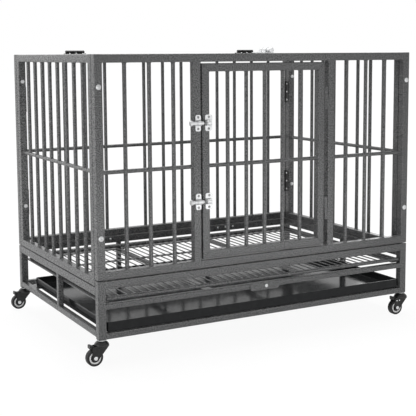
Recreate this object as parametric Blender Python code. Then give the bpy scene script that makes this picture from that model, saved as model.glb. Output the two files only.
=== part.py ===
"""Dog cage on castors: welded tube panels, a front door, a hinged lid, a slide-out grate and tray.

Metres, +Z up. X runs along the cage, the door faces -Y, and the castors stand on z = 0.
Pieces are laid out about the middle of the frame, and one empty carries them all to the origin.
"""
import math

import bmesh
import bpy

# Whole cage
LENGTH = 0.920
WIDTH = 0.603
TOP = 0.728
FOOT = 0.061
SEAM = 0.0003
HALF_X = LENGTH / 2
HALF_Y = WIDTH / 2
FRONT = -HALF_Y
BACK = HALF_Y

# Tube, bar and weld sizes
TUBE = 0.020
TUBE_ROUND = 0.0020
SMALL_TUBE = 0.015
SMALL_ROUND = 0.0015
BAR_R = 0.005
BAR_SIDES = 8
WELD = 0.003
RAIL_IN = 0.0001
MID_RAIL = TOP - 0.273

# Panels above the base
FRONT_PANEL_LOW = TOP - 0.5256
SIDE_PANEL_LOW = TOP - 0.542
FRONT_BARS = (0.2554, 0.3185, 0.3819)
DOORWAY_X = 0.0024
POST_X = 0.198
SIDE_BARS = 8
SIDE_PITCH = 0.0583
BACK_BARS = 13
BACK_PITCH = 0.0632
LID_BARS = 13
LID_PITCH = 0.0620
LID_GAP = 0.002

# Door
DOOR_LEFT = -0.1820
DOOR_RIGHT = 0.1790
DOOR_TOP = TOP - 0.0235
DOOR_LOW = TOP - 0.5025
DOOR_BARS = 5
DOOR_PITCH = 0.0536
DOOR_BAR_MID = 0.0009

# Base
FRONT_POST_TOP = FOOT + 0.140
BACK_POST_TOP = FOOT + 0.1235
MID_BASE_LOW = FOOT + 0.0725
MID_BASE_TOP = FOOT + 0.0865
FRONT_SILL_TOP = FOOT + 0.0155
SILL_LOW = FOOT + 0.004
SIDE_POST_Y = FRONT + 0.2825
UPRIGHT = 0.013
UPRIGHT_X = LENGTH / 6
LEDGE_TOP = MID_BASE_TOP + 0.0002
LEDGE_THICK = 0.003
LEDGE_REACH = 0.035
SUPPORT_TOP = FOOT + 0.080
SUPPORT_WIDE = 0.025

# Tray and grate
TRAY_X = HALF_X - 0.0235
TRAY_FRONT = FRONT + 0.006
TRAY_BACK = FRONT + 0.530
TRAY_LOW = FRONT_SILL_TOP + 0.0005
TRAY_HIGH = FOOT + 0.0395
SHEET = 0.0015
CROSS_BAR_Y = (FRONT + 0.500, FRONT + 0.545)
GRATE_X = HALF_X - 0.0225
GRATE_FRONT = FRONT + 0.010
GRATE_BACK = FRONT + 0.572
GRATE_TUBE_R = 0.006
GRATE_LOW = MID_BASE_TOP + 0.0006
GRATE_MID = FOOT + 0.0953
RUNNER = 0.004
RUNNER_TALL = 0.011
WIRE = 0.0032
WIRES = 40
WIRE_PITCH = 0.0215
GRATE_FLATS_Y = (-0.095, 0.095)
GRATE_FLAT = 0.012

# Door hinges and lid hinges
HINGE_R = 0.0045
HINGE_PIN_R = 0.0024
HINGE_BORE_R = 0.0026
DOOR_AXIS = (DOORWAY_X + 0.1822, FRONT + 0.001)
DOOR_HINGES = {"upper": (TOP - 0.146, TOP - 0.0875), "lower": (TOP - 0.436, TOP - 0.375)}
LID_AXIS = (FRONT + 0.5815, TOP + 0.0065)
LID_HINGE_X = 0.2855
LID_HINGE_LONG = 0.057
LEAF = 0.002
LEAF_WIDE = 0.0185
KNUCKLE_CLEAR = 0.0055

# Slide bolts of the door and the lid
LATCH_Z = {"upper": TOP - 0.167, "lower": TOP - 0.359}
PLATE = 0.0015
PLATE_LONG = 0.040
PLATE_WIDE = 0.015
BOLT_R = 0.0035
BOLT_OUT = 0.0075
KNOB_R = 0.0066
KNOB_LONG = 0.0065
BOLT_LONG = 0.0375
CHAMFER = 0.001
PLATE_CORNER = 0.0045
SLEEVE = 0.012
SLEEVE_HALF = 0.0070
SLEEVE_SHOULDER = (0.0062, 0.0020)
SLEEVE_CROWN = (0.0038, 0.0056)
KEEPER_WIDE = 0.020
LATCH_POST_X = -0.1945
KEEPER_X = -0.1655
BOLT_TIP_X = DOOR_LEFT - 0.0005
LID_LATCH_X = 0.006
LID_BOLT_TIP_Y = FRONT + 0.0215
LID_KEEPER_Y = FRONT + 0.0325

# Turn latch that locks grate and tray
TURN_Z = FOOT + 0.0762
TURN_UP = 0.0393
TURN_DOWN = 0.0485
TURN_HALF = 0.010
TURN_THICK = 0.002
SCREW_R = 0.002
SCREW_HOLE_R = 0.0024

# Corner bolts and fold hinges
BOLT_HEIGHTS = {"upper": TOP - 0.075, "lower": TOP - 0.426}
CORNER_BOLT_R = 0.003
CORNER_HOLE_R = 0.0034
NUT = (FRONT + 0.0406, FRONT + 0.0456)
FOLD_HEIGHTS = {"upper": TOP - 0.125, "lower": TOP - 0.417}
FOLD_LONG = 0.070
FOLD_LEAF = 0.018

# Castors, about the stem's axis
CASTOR_X = HALF_X - TUBE / 2
CASTOR_Y = HALF_Y - TUBE / 2
TRAIL = 0.019
WHEEL_R = 0.0205
WHEEL_SIDES = 20
WHEEL_HALF = 0.00725
CHEEK_IN = 0.0086
CHEEK_OUT = 0.0106
DOME_R = 0.018
DOME_TOP = 0.0583
DOME_LOW = 0.0450
KING_R = 0.004
STEM_R = 0.005
STEM_LONG = 0.018
COLLAR_R = 0.011
COLLAR_LOW = 0.0588
KING_LOW = 0.0475
AXLE_R = 0.003
RIVET_R = 0.0048
RIVET_END = 0.0125
BRAKE_PIVOT = (-0.0218, 0.0458)
BRAKE_HALF = 0.0078
BRAKE_OUTLINE = ((-0.0202, 0.0442), (-0.0196, 0.0462), (-0.0212, 0.0482), (-0.0335, 0.0545),
                 (-0.0345, 0.0528), (-0.0290, 0.0490), (-0.0285, 0.0428), (-0.0262, 0.0424),
                 (-0.0255, 0.0462), (-0.0225, 0.0438))

# The frame's middle in world coordinates, which puts the origin under the middle of the whole
LEFT_REACH = CASTOR_X + TRAIL + WHEEL_R
RIGHT_REACH = CASTOR_X + DOME_R
FRONT_REACH = BOLT_LONG - (LID_BOLT_TIP_Y - FRONT) + HALF_Y
BACK_REACH = CASTOR_Y + DOME_R
CAGE_X = (LEFT_REACH - RIGHT_REACH) / 2
CAGE_Y = (FRONT_REACH - BACK_REACH) / 2

# Colours, roughness and metal
FRAME_GREY = ((0.115, 0.118, 0.122), 0.45, 0.35)
BLACK_STEEL = ((0.012, 0.012, 0.013), 0.40, 0.20)
BLACK_PLASTIC = ((0.010, 0.010, 0.011), 0.50, 0.0)
ZINC = ((0.62, 0.63, 0.65), 0.30, 1.0)


def clear_scene():
    for item in list(bpy.data.objects):
        bpy.data.objects.remove(item, do_unlink=True)


def at(axis, along, u, v):
    """A point given along one axis and in the other two, in X, Y, Z order."""
    return {"X": (along, u, v), "Y": (u, along, v), "Z": (u, v, along)}[axis]


def prism(bm, axis, outline, start, end):
    """Extrude a flat outline along an axis."""
    corners = [bm.verts.new(at(axis, start, u, v)) for u, v in outline]
    grown = bmesh.ops.extrude_face_region(bm, geom=[bm.faces.new(corners)])
    moved = [part for part in grown["geom"] if isinstance(part, bmesh.types.BMVert)]
    bmesh.ops.translate(bm, verts=moved, vec=at(axis, end - start, 0.0, 0.0))


def circle(cu, cv, radius, sides, turn=0.0):
    """A regular outline with a corner at the given turn."""
    steps = [turn + 2 * math.pi * k / sides for k in range(sides)]
    return [(cu + radius * math.cos(a), cv + radius * math.sin(a)) for a in steps]


def soft_square(u0, u1, v0, v1, soft):
    """A rectangle whose corners are cut off."""
    return [(u0 + soft, v0), (u1 - soft, v0), (u1, v0 + soft), (u1, v1 - soft),
            (u1 - soft, v1), (u0 + soft, v1), (u0, v1 - soft), (u0, v0 + soft)]


def tube(bm, axis, u, v, start, end, soft=TUBE_ROUND, inset=0.0):
    """A square tube between two planes; u and v are its low and high sides."""
    outline = soft_square(u[0] + inset, u[1] - inset, v[0] + inset, v[1] - inset, soft)
    prism(bm, axis, outline, start, end)


def rod(bm, axis, u, v, start, end, radius=BAR_R, sides=BAR_SIDES):
    prism(bm, axis, circle(u, v, radius, sides, math.pi / sides), start, end)


def box(bm, x, y, z):
    prism(bm, "Z", [(x[0], y[0]), (x[1], y[0]), (x[1], y[1]), (x[0], y[1])], z[0], z[1])


def turned(bm, axis, centre, profile, steps):
    """Spin a profile of (radius, height along the axis) points about an axis through centre."""
    spokes = {"X": (0, 1, 0), "Y": (1, 0, 0), "Z": (1, 0, 0)}
    ways = {"X": (1, 0, 0), "Y": (0, 1, 0), "Z": (0, 0, 1)}
    spoke, way = spokes[axis], ways[axis]
    verts = []
    for radius, height in profile:
        point = [centre[k] + radius * spoke[k] + height * way[k] for k in range(3)]
        verts.append(bm.verts.new(point))
    edges = [bm.edges.new((a, b)) for a, b in zip(verts, verts[1:])]
    if profile[0][0] > 0:
        edges.append(bm.edges.new((verts[-1], verts[0])))
    bmesh.ops.spin(bm, geom=verts + edges, cent=centre, axis=way, angle=2 * math.pi, steps=steps)
    bmesh.ops.remove_doubles(bm, verts=bm.verts, dist=1e-6)


def new_object(name, bm, origin, parent):
    """Close a mesh into an object whose origin is at the given place."""
    bmesh.ops.translate(bm, verts=bm.verts, vec=[-k for k in origin])
    bmesh.ops.recalc_face_normals(bm, faces=bm.faces)
    mesh = bpy.data.meshes.new(name)
    bm.to_mesh(mesh)
    bm.free()
    item = bpy.data.objects.new(name, mesh)
    bpy.context.scene.collection.objects.link(item)
    item.parent = parent
    item.location = origin
    return item


def material(name, look):
    colour, roughness, metallic = look
    made = bpy.data.materials.new(name)
    made.use_nodes = True
    shader = made.node_tree.nodes["Principled BSDF"]
    shader.inputs["Base Color"].default_value = (*colour, 1.0)
    shader.inputs["Roughness"].default_value = roughness
    shader.inputs["Metallic"].default_value = metallic
    return made


def operate(item, bm, operation, origin, tag):
    """Weld a second shape onto an object, or cut it away."""
    tool = new_object(f"{item.name}_{tag}", bm, origin, item.parent)
    tool.hide_render = True
    tool.display_type = "WIRE"
    step = item.modifiers.new(tag, "BOOLEAN")
    step.operation = operation
    step.solver = "EXACT"
    step.object = tool


def piece(name, look, first, welds=(), cuts=(), origin=(0.0, 0.0, 0.0), round_piece=False):
    """Build one sub-part from drawing functions: the first shape, what is welded on, what is cut."""
    bm = bmesh.new()
    first(bm)
    item = new_object(name, bm, origin, cage)
    item.data.materials.append(material(f"{name}_finish", look))
    for number, draw in enumerate(welds):
        bm = bmesh.new()
        draw(bm)
        operate(item, bm, "UNION", origin, f"weld_{number}")
    for number, draw in enumerate(cuts):
        bm = bmesh.new()
        draw(bm)
        operate(item, bm, "DIFFERENCE", origin, f"cut_{number}")
    if round_piece:
        item.data.shade_smooth()
        item.data.set_sharp_from_angle(angle=math.radians(35))
    return item


def stem_bore(x, y):
    """The hole in the foot of a corner post that takes a castor's stem."""
    return lambda bm: rod(bm, "Z", x, y, FOOT - 0.005, FOOT + 0.0195, STEM_R + 0.0004, 12)


def base_front():
    inner = HALF_X - TUBE + WELD
    deep = (FRONT, FRONT + SMALL_TUBE)

    def posts(bm):
        for side in (-1, 1):
            edge = sorted((side * HALF_X, side * (HALF_X - TUBE)))
            tube(bm, "Z", edge, (FRONT, FRONT + TUBE), FOOT, FRONT_POST_TOP)

    def rails(bm):
        full = (FRONT, FRONT + TUBE)
        top = (FRONT_POST_TOP - TUBE, FRONT_POST_TOP)
        tube(bm, "X", full, top, -inner, inner, TUBE_ROUND, RAIL_IN)
        tube(bm, "X", deep, (MID_BASE_LOW, MID_BASE_TOP), -inner, inner, SMALL_ROUND, RAIL_IN)
        tube(bm, "X", deep, (FOOT, FRONT_SILL_TOP), -inner, inner, SMALL_ROUND, RAIL_IN)

    def screw_hole(bm):
        rod(bm, "Y", 0.0, TURN_Z, FRONT - 0.002, FRONT + 0.0095, SCREW_HOLE_R, 12)

    bores = [stem_bore(side * CASTOR_X, -CASTOR_Y) for side in (-1, 1)]
    piece("base_front", FRAME_GREY, posts, [rails], bores + [screw_hole])


def base_back():
    inner = HALF_X - TUBE + WELD

    def posts(bm):
        for side in (-1, 1):
            edge = sorted((side * HALF_X, side * (HALF_X - TUBE)))
            tube(bm, "Z", edge, (BACK - TUBE, BACK), FOOT, BACK_POST_TOP)

    def rails(bm):
        top = (BACK_POST_TOP - TUBE, BACK_POST_TOP)
        tube(bm, "X", (BACK - TUBE, BACK), top, -inner, inner, TUBE_ROUND, RAIL_IN)
        low = (SILL_LOW, SILL_LOW + SMALL_TUBE)
        tube(bm, "X", (BACK - SMALL_TUBE, BACK), low, -inner, inner, SMALL_ROUND, RAIL_IN)

    def uprights(bm):
        low, high = SILL_LOW + SMALL_TUBE - WELD, BACK_POST_TOP - TUBE + WELD
        deep = (BACK - 0.001 - UPRIGHT, BACK - 0.001)
        for side in (-1, 1):
            middle = side * UPRIGHT_X
            tube(bm, "Z", (middle - UPRIGHT / 2, middle + UPRIGHT / 2), deep, low, high, SMALL_ROUND)

    def supports(bm):
        """Flats that carry the grate's middle, from the mid rail in front to the uprights."""
        ends = (FRONT + SMALL_TUBE + SEAM, BACK - 0.001 - UPRIGHT + WELD)
        for side in (-1, 1):
            middle = side * UPRIGHT_X
            wide = (middle - SUPPORT_WIDE / 2, middle + SUPPORT_WIDE / 2)
            box(bm, wide, ends, (SUPPORT_TOP - LEDGE_THICK, SUPPORT_TOP))

    bores = [stem_bore(side * CASTOR_X, CASTOR_Y) for side in (-1, 1)]
    piece("base_back", FRAME_GREY, posts, [rails, uprights, supports], bores)


def base_side(name, side):
    start, end = FRONT + TUBE + SEAM, BACK - TUBE - SEAM

    def across(near, far):
        return sorted((side * (HALF_X - near), side * (HALF_X - far)))

    def rails(bm):
        tube(bm, "Y", across(0, TUBE), (BACK_POST_TOP - TUBE, BACK_POST_TOP), start, end)
        low = (SILL_LOW, SILL_LOW + SMALL_TUBE)
        tube(bm, "Y", across(0, SMALL_TUBE), low, start, end, SMALL_ROUND)

    def post(bm):
        low, high = SILL_LOW + SMALL_TUBE - WELD, BACK_POST_TOP - TUBE + WELD
        deep = (SIDE_POST_Y - SMALL_TUBE / 2, SIDE_POST_Y + SMALL_TUBE / 2)
        tube(bm, "Z", across(0.0003, SMALL_TUBE - 0.0003), deep, low, high, SMALL_ROUND)

    def ledge(bm):
        reach = across(SMALL_TUBE - 0.0015, LEDGE_REACH)
        box(bm, reach, (start, end), (LEDGE_TOP - LEDGE_THICK, LEDGE_TOP))

    piece(name, FRAME_GREY, rails, [post, ledge])


def tray_cross_bar():
    reach = HALF_X - SMALL_TUBE - SEAM
    piece("tray_cross_bar", FRAME_GREY,
          lambda bm: box(bm, (-reach, reach), CROSS_BAR_Y, (FRONT_SILL_TOP - 0.003, FRONT_SILL_TOP)))


def bolt_holes(x):
    """Holes through the front stile and the side panel's front stile."""
    def draw(bm):
        for height in BOLT_HEIGHTS.values():
            rod(bm, "Y", x, height, FRONT - 0.01, FRONT + 2 * TUBE + 0.01, CORNER_HOLE_R, 12)
    return draw


def front_panel():
    inner = HALF_X - TUBE + WELD
    deep = (FRONT, FRONT + TUBE)
    mid = FRONT + TUBE / 2
    low, high = FRONT_PANEL_LOW + TUBE - WELD, TOP - TUBE + WELD
    posts_x = [DOORWAY_X - POST_X, DOORWAY_X + POST_X]

    def stiles(bm):
        for side in (-1, 1):
            edge = sorted((side * HALF_X, side * (HALF_X - TUBE)))
            tube(bm, "Z", edge, deep, FRONT_POST_TOP + SEAM, TOP)

    def rails(bm):
        tube(bm, "X", deep, (TOP - TUBE, TOP), -inner, inner, TUBE_ROUND, RAIL_IN)
        bottom = (FRONT_PANEL_LOW, FRONT_PANEL_LOW + TUBE)
        tube(bm, "X", deep, bottom, -inner, inner, TUBE_ROUND, RAIL_IN)

    def posts_and_bars(bm):
        for x in posts_x:
            tube(bm, "Z", (x - TUBE / 2, x + TUBE / 2), deep, low, high, TUBE_ROUND, 2 * RAIL_IN)
        for x in FRONT_BARS:
            rod(bm, "Z", x, mid, low, high)
            rod(bm, "Z", -x, mid, low, high)

    def mid_rails(bm):
        rod(bm, "X", mid, MID_RAIL, -inner, posts_x[0] - TUBE / 2 + WELD)
        rod(bm, "X", mid, MID_RAIL, posts_x[1] + TUBE / 2 - WELD, inner)

    holes = [bolt_holes(-CASTOR_X), bolt_holes(CASTOR_X)]
    piece("front_panel", FRAME_GREY, stiles, [rails, posts_and_bars, mid_rails], holes)


def side_panel(name, side):
    start, end = FRONT + TUBE + SEAM, BACK - TUBE - SEAM
    deep = sorted((side * HALF_X, side * (HALF_X - TUBE)))
    mid = side * (HALF_X - TUBE / 2)
    inner = (start + TUBE - WELD, end - TUBE + WELD)

    def stiles(bm):
        tube(bm, "Z", deep, (start, start + TUBE), BACK_POST_TOP + SEAM, TOP)
        tube(bm, "Z", deep, (end - TUBE, end), BACK_POST_TOP + SEAM, TOP)

    def rails(bm):
        tube(bm, "Y", deep, (TOP - TUBE, TOP), *inner, TUBE_ROUND, RAIL_IN)
        tube(bm, "Y", deep, (SIDE_PANEL_LOW, SIDE_PANEL_LOW + TUBE), *inner, TUBE_ROUND, RAIL_IN)

    def bars(bm):
        for k in range(SIDE_BARS):
            y = (k - (SIDE_BARS - 1) / 2) * SIDE_PITCH
            rod(bm, "Z", mid, y, SIDE_PANEL_LOW + TUBE - WELD, TOP - TUBE + WELD)

    def mid_rail(bm):
        rod(bm, "Y", mid, MID_RAIL, *inner)

    piece(name, FRAME_GREY, stiles, [rails, bars, mid_rail], [bolt_holes(side * CASTOR_X)])


def back_panel():
    inner = HALF_X - TUBE + WELD
    deep = (BACK - TUBE, BACK)
    mid = BACK - TUBE / 2

    def stiles(bm):
        for side in (-1, 1):
            edge = sorted((side * HALF_X, side * (HALF_X - TUBE)))
            tube(bm, "Z", edge, deep, BACK_POST_TOP + SEAM, TOP)

    def rails(bm):
        tube(bm, "X", deep, (TOP - TUBE, TOP), -inner, inner, TUBE_ROUND, RAIL_IN)
        bottom = (SIDE_PANEL_LOW, SIDE_PANEL_LOW + TUBE)
        tube(bm, "X", deep, bottom, -inner, inner, TUBE_ROUND, RAIL_IN)

    def bars(bm):
        for k in range(BACK_BARS):
            x = (k - (BACK_BARS - 1) / 2) * BACK_PITCH
            rod(bm, "Z", x, mid, SIDE_PANEL_LOW + TUBE - WELD, TOP - TUBE + WELD)

    piece("back_panel", FRAME_GREY, stiles,
          [rails, bars, lambda bm: rod(bm, "X", mid, MID_RAIL, -inner, inner)])


def door():
    deep = (FRONT, FRONT + TUBE)
    mid = FRONT + TUBE / 2
    inner = (DOOR_LEFT + TUBE - WELD, DOOR_RIGHT - TUBE + WELD)

    def stiles(bm):
        tube(bm, "Z", (DOOR_LEFT, DOOR_LEFT + TUBE), deep, DOOR_LOW, DOOR_TOP)
        tube(bm, "Z", (DOOR_RIGHT - TUBE, DOOR_RIGHT), deep, DOOR_LOW, DOOR_TOP)

    def rails(bm):
        tube(bm, "X", deep, (DOOR_TOP - TUBE, DOOR_TOP), *inner, TUBE_ROUND, RAIL_IN)
        tube(bm, "X", deep, (DOOR_LOW, DOOR_LOW + TUBE), *inner, TUBE_ROUND, RAIL_IN)

    def bars(bm):
        for k in range(DOOR_BARS):
            x = DOOR_BAR_MID + (k - (DOOR_BARS - 1) / 2) * DOOR_PITCH
            rod(bm, "Z", x, mid, DOOR_LOW + TUBE - WELD, DOOR_TOP - TUBE + WELD)

    piece("door", FRAME_GREY, stiles,
          [rails, bars, lambda bm: rod(bm, "X", mid, MID_RAIL, *inner)], origin=(*DOOR_AXIS, 0.0))


def lid():
    reach = HALF_X - TUBE - LID_GAP
    start, end = FRONT + TUBE + LID_GAP, BACK - TUBE - LID_GAP - 0.001
    tall = (TOP - TUBE, TOP)
    mid = TOP - TUBE / 2

    def stiles(bm):
        tube(bm, "Y", (-reach, -reach + TUBE), tall, start, end)
        tube(bm, "Y", (reach - TUBE, reach), tall, start, end)

    def rails(bm):
        inner = reach - TUBE + WELD
        tube(bm, "X", (start, start + TUBE), tall, -inner, inner, TUBE_ROUND, RAIL_IN)
        tube(bm, "X", (end - TUBE, end), tall, -inner, inner, TUBE_ROUND, RAIL_IN)

    def bars(bm):
        for k in range(LID_BARS):
            x = (k - (LID_BARS - 1) / 2) * LID_PITCH
            rod(bm, "Y", x, mid, start + TUBE - WELD, end - TUBE + WELD)

    def mid_rail(bm):
        rod(bm, "X", (start + end) / 2, mid, -reach + TUBE - WELD, reach - TUBE + WELD)

    piece("lid", FRAME_GREY, stiles, [rails, bars, mid_rail], origin=(0.0, *LID_AXIS))


def grate():
    def runners(bm):
        for side in (-1, 1):
            edge = sorted((side * GRATE_X, side * (GRATE_X - RUNNER)))
            ends = (GRATE_FRONT, GRATE_BACK)
            box(bm, edge, ends, (GRATE_LOW, GRATE_LOW + RUNNER_TALL))

    def tubes(bm):
        for y in (GRATE_FRONT, GRATE_BACK):
            rod(bm, "X", y, GRATE_MID, -GRATE_X - 0.0001, GRATE_X + 0.0001, GRATE_TUBE_R)

    def wires(bm):
        for k in range(WIRES):
            x = (k - (WIRES - 1) / 2) * WIRE_PITCH
            wide = (x - WIRE / 2, x + WIRE / 2)
            box(bm, wide, (GRATE_FRONT, GRATE_BACK), (GRATE_MID - WIRE / 2, GRATE_MID + WIRE / 2))

    def flats(bm):
        for y in GRATE_FLATS_Y:
            deep = (y - GRATE_FLAT / 2, y + GRATE_FLAT / 2)
            top = GRATE_MID - WIRE / 2 - SEAM
            box(bm, (-GRATE_X + 0.001, GRATE_X - 0.001), deep, (top - 0.003, top))

    piece("grate", FRAME_GREY, runners, [tubes, wires, flats])


def tray():
    def draw(bm):
        box(bm, (-TRAY_X, TRAY_X), (TRAY_FRONT, TRAY_BACK), (TRAY_LOW, TRAY_HIGH))

    def hollow(bm):
        across = (-TRAY_X + SHEET, TRAY_X - SHEET)
        box(bm, across, (TRAY_FRONT + SHEET, TRAY_BACK - SHEET), (TRAY_LOW + SHEET, TRAY_HIGH + 0.01))

    piece("tray", BLACK_STEEL, draw, cuts=[hollow])


def door_hinge(level, low, high):
    """A welded barrel hinge: the half with the pin is on the post, the other on the door."""
    x, y = DOOR_AXIS
    middle = (low + high) / 2
    post_edge = DOORWAY_X + POST_X - TUBE / 2

    def post_half(bm):
        turned(bm, "Z", (x, y, 0.0), [(0.0, low), (HINGE_R, low), (HINGE_R, middle - SEAM / 2),
               (HINGE_PIN_R, middle - SEAM / 2), (HINGE_PIN_R, high - 0.001), (0.0, high - 0.001)], 12)

    def door_half(bm):
        turned(bm, "Z", (x, y, 0.0), [(HINGE_BORE_R, middle + SEAM / 2), (HINGE_R, middle + SEAM / 2),
               (HINGE_R, high), (HINGE_BORE_R, high)], 12)

    def post_tab(bm):
        box(bm, (x + 0.0032, post_edge - SEAM), (y - 0.0015, y + 0.003), (low, middle - SEAM / 2))

    def door_tab(bm):
        box(bm, (DOOR_RIGHT + SEAM, x - 0.0032), (y - 0.0015, y + 0.003), (middle + SEAM / 2, high))

    piece(f"door_hinge_{level}_pin_half", FRAME_GREY, post_half, [post_tab], round_piece=True)
    piece(f"door_hinge_{level}_door_half", FRAME_GREY, door_half, [door_tab],
          origin=(*DOOR_AXIS, 0.0), round_piece=True)


def lid_hinge(side_name, centre):
    """A butt hinge across the back seam: the longer knuckle and the pin are on the back panel."""
    y, z = LID_AXIS
    low, high = centre - LID_HINGE_LONG / 2, centre + LID_HINGE_LONG / 2
    split = centre + 0.0057
    flat = (TOP + SEAM, TOP + SEAM + LEAF)
    thinner = (flat[0] + RAIL_IN, flat[1] - RAIL_IN)

    def fixed_knuckle(bm):
        turned(bm, "X", (0.0, y, z), [(0.0, low), (HINGE_R, low), (HINGE_R, split - SEAM / 2),
               (HINGE_PIN_R, split - SEAM / 2), (HINGE_PIN_R, high - 0.0005), (0.0, high - 0.0005)], 12)

    def fixed_leaf(bm):
        box(bm, (low, split - SEAM / 2), (y, y + LEAF_WIDE), flat)

    def fixed_leaf_end(bm):
        box(bm, (split - 0.002, high), (y + KNUCKLE_CLEAR, y + LEAF_WIDE - RAIL_IN), thinner)

    def lid_knuckle(bm):
        turned(bm, "X", (0.0, y, z), [(HINGE_BORE_R, split + SEAM / 2), (HINGE_R, split + SEAM / 2),
               (HINGE_R, high), (HINGE_BORE_R, high)], 12)

    def lid_leaf(bm):
        box(bm, (split + SEAM / 2, high), (y - LEAF_WIDE, y), flat)

    def lid_leaf_end(bm):
        box(bm, (low, split + 0.002), (y - LEAF_WIDE + RAIL_IN, y - KNUCKLE_CLEAR), thinner)

    piece(f"lid_hinge_{side_name}_pin_half", BLACK_STEEL, fixed_knuckle, [fixed_leaf, fixed_leaf_end],
          round_piece=True)
    piece(f"lid_hinge_{side_name}_lid_half", BLACK_STEEL, lid_knuckle, [lid_leaf, lid_leaf_end],
          origin=(0.0, *LID_AXIS), round_piece=True)


def slide_bolt(name, bolt_axis, plate_axis, face, plate_mid, cross, keeper_mid, tip):
    """A slide bolt: a plate with a sleeve, a round bolt with a knob, and a keeper.

    bolt_axis is the way the bolt slides, plate_axis the way the plates run, and face the
    surface that the plates lie on: the front face of the frame, or its top.
    """
    upright = plate_axis == "Z"
    out = -1 if upright else 1
    skin = face + out * SEAM
    axis_level = face + out * BOLT_OUT

    def plate(bm, middle, wide):
        levels = sorted((skin, skin + out * PLATE))
        if upright:
            outline = soft_square(middle - wide / 2, middle + wide / 2,
                                  cross - PLATE_LONG / 2, cross + PLATE_LONG / 2, PLATE_CORNER)
            prism(bm, "Y", outline, *levels)
        else:
            outline = soft_square(cross - PLATE_LONG / 2, cross + PLATE_LONG / 2,
                                  middle - wide / 2, middle + wide / 2, PLATE_CORNER)
            prism(bm, "Z", outline, *levels)

    def sleeve(bm, middle):
        """The raised loop across a plate, rounded on its outside."""
        base = skin + out * PLATE / 2
        shoulder = axis_level + out * SLEEVE_SHOULDER[1]
        crown = axis_level + out * SLEEVE_CROWN[1]
        half = [(SLEEVE_HALF, base), (SLEEVE_SHOULDER[0], shoulder), (SLEEVE_CROWN[0], crown)]
        outline = half + [(-u, level) for u, level in reversed(half)]
        ends = (middle - SLEEVE / 2, middle + SLEEVE / 2)
        if upright:
            prism(bm, "X", [(level, cross + u) for u, level in outline], *ends)
        else:
            prism(bm, "Y", [(cross + u, level) for u, level in outline], *ends)

    def bore(bm, middle, radius):
        if upright:
            rod(bm, "X", axis_level, cross, middle - 0.02, middle + 0.02, radius, 12)
        else:
            rod(bm, "Y", cross, axis_level, middle - 0.02, middle + 0.02, radius, 12)

    def bolt(bm):
        centre = (0.0, axis_level, cross) if upright else (cross, 0.0, axis_level)
        tail = tip - BOLT_LONG
        neck = tail + KNOB_LONG
        profile = [(0.0, tail), (KNOB_R - CHAMFER, tail), (KNOB_R, tail + CHAMFER),
                   (KNOB_R, neck - CHAMFER), (KNOB_R - CHAMFER, neck), (BOLT_R, neck),
                   (BOLT_R, tip - CHAMFER), (BOLT_R - CHAMFER, tip), (0.0, tip)]
        turned(bm, bolt_axis, centre, profile, 12)

    piece(f"{name}_bolt_body", ZINC, lambda bm: plate(bm, plate_mid, PLATE_WIDE),
          [lambda bm: sleeve(bm, plate_mid)], [lambda bm: bore(bm, plate_mid, BOLT_R + 0.0003)])
    place = (tip, axis_level, cross) if upright else (cross, tip, axis_level)
    piece(f"{name}_bolt", ZINC, bolt, origin=place, round_piece=True)
    place = (*DOOR_AXIS, 0.0) if upright else (0.0, *LID_AXIS)
    piece(f"{name}_keeper", ZINC, lambda bm: plate(bm, keeper_mid, KEEPER_WIDE),
          [lambda bm: sleeve(bm, keeper_mid - 0.0035)],
          [lambda bm: bore(bm, keeper_mid, BOLT_R + 0.0007)], origin=place)


def turn_latch():
    """The strip swings on a screw in the base's mid rail; here it lies along the rail, unlocked."""
    skin = FRONT - SEAM

    def strip(bm):
        outline = []
        for end, turn in ((TURN_UP - TURN_HALF, -1), (-TURN_DOWN + TURN_HALF, 1)):
            for k in range(7):
                angle = turn * math.pi / 2 + math.pi * k / 6
                outline.append((end + TURN_HALF * math.cos(angle), TURN_Z + TURN_HALF * math.sin(angle)))
        prism(bm, "Y", outline, skin - TURN_THICK, skin)

    def hole(bm):
        rod(bm, "Y", 0.0, TURN_Z, skin - 0.01, skin + 0.01, SCREW_HOLE_R, 12)

    piece("turn_latch", FRAME_GREY, strip, cuts=[hole], origin=(0.0, skin, TURN_Z))
    head = skin - TURN_THICK - SEAM
    profile = [(0.0, head - 0.0022), (0.0024, head - 0.0019), (0.0040, head - 0.0010), (0.0045, head),
               (SCREW_R, head), (SCREW_R, FRONT + 0.009), (0.0, FRONT + 0.009)]
    piece("turn_latch_screw", ZINC, lambda bm: turned(bm, "Y", (0.0, 0.0, TURN_Z), profile, 12),
          round_piece=True)


def corner_bolt(name, x, z):
    """A dome-head bolt with its nut, through the front stile and the side panel's stile."""
    face = FRONT - SEAM
    profile = [(0.0, face - 0.0042), (0.0035, face - 0.0037), (0.0058, face - 0.0020), (0.0066, face),
               (CORNER_BOLT_R, face), (CORNER_BOLT_R, NUT[1] + 0.002), (0.0, NUT[1] + 0.002)]
    piece(name, ZINC, lambda bm: turned(bm, "Y", (x, 0.0, z), profile, 12),
          [lambda bm: rod(bm, "Y", x, z, *NUT, 0.0057, 6)], round_piece=True)


def fold_hinge(name, side, z):
    """A strap hinge flat across the seam of the side panel and the back panel, inside the corner."""
    wall = HALF_X - TUBE - SEAM
    seam_y = BACK - TUBE - SEAM / 2
    leaf = wall - PLATE
    half = [(wall, FOLD_LEAF), (leaf, FOLD_LEAF), (leaf, 0.0038), (wall - 0.0052, 0.0032),
            (wall - 0.0068, 0.0013)]
    outline = half + [(x, -y) for x, y in reversed(half)]
    outline = [(side * x, seam_y + y) for x, y in outline]
    piece(name, BLACK_STEEL, lambda bm: prism(bm, "Z", outline, z - FOLD_LONG / 2, z + FOLD_LONG / 2))


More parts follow.
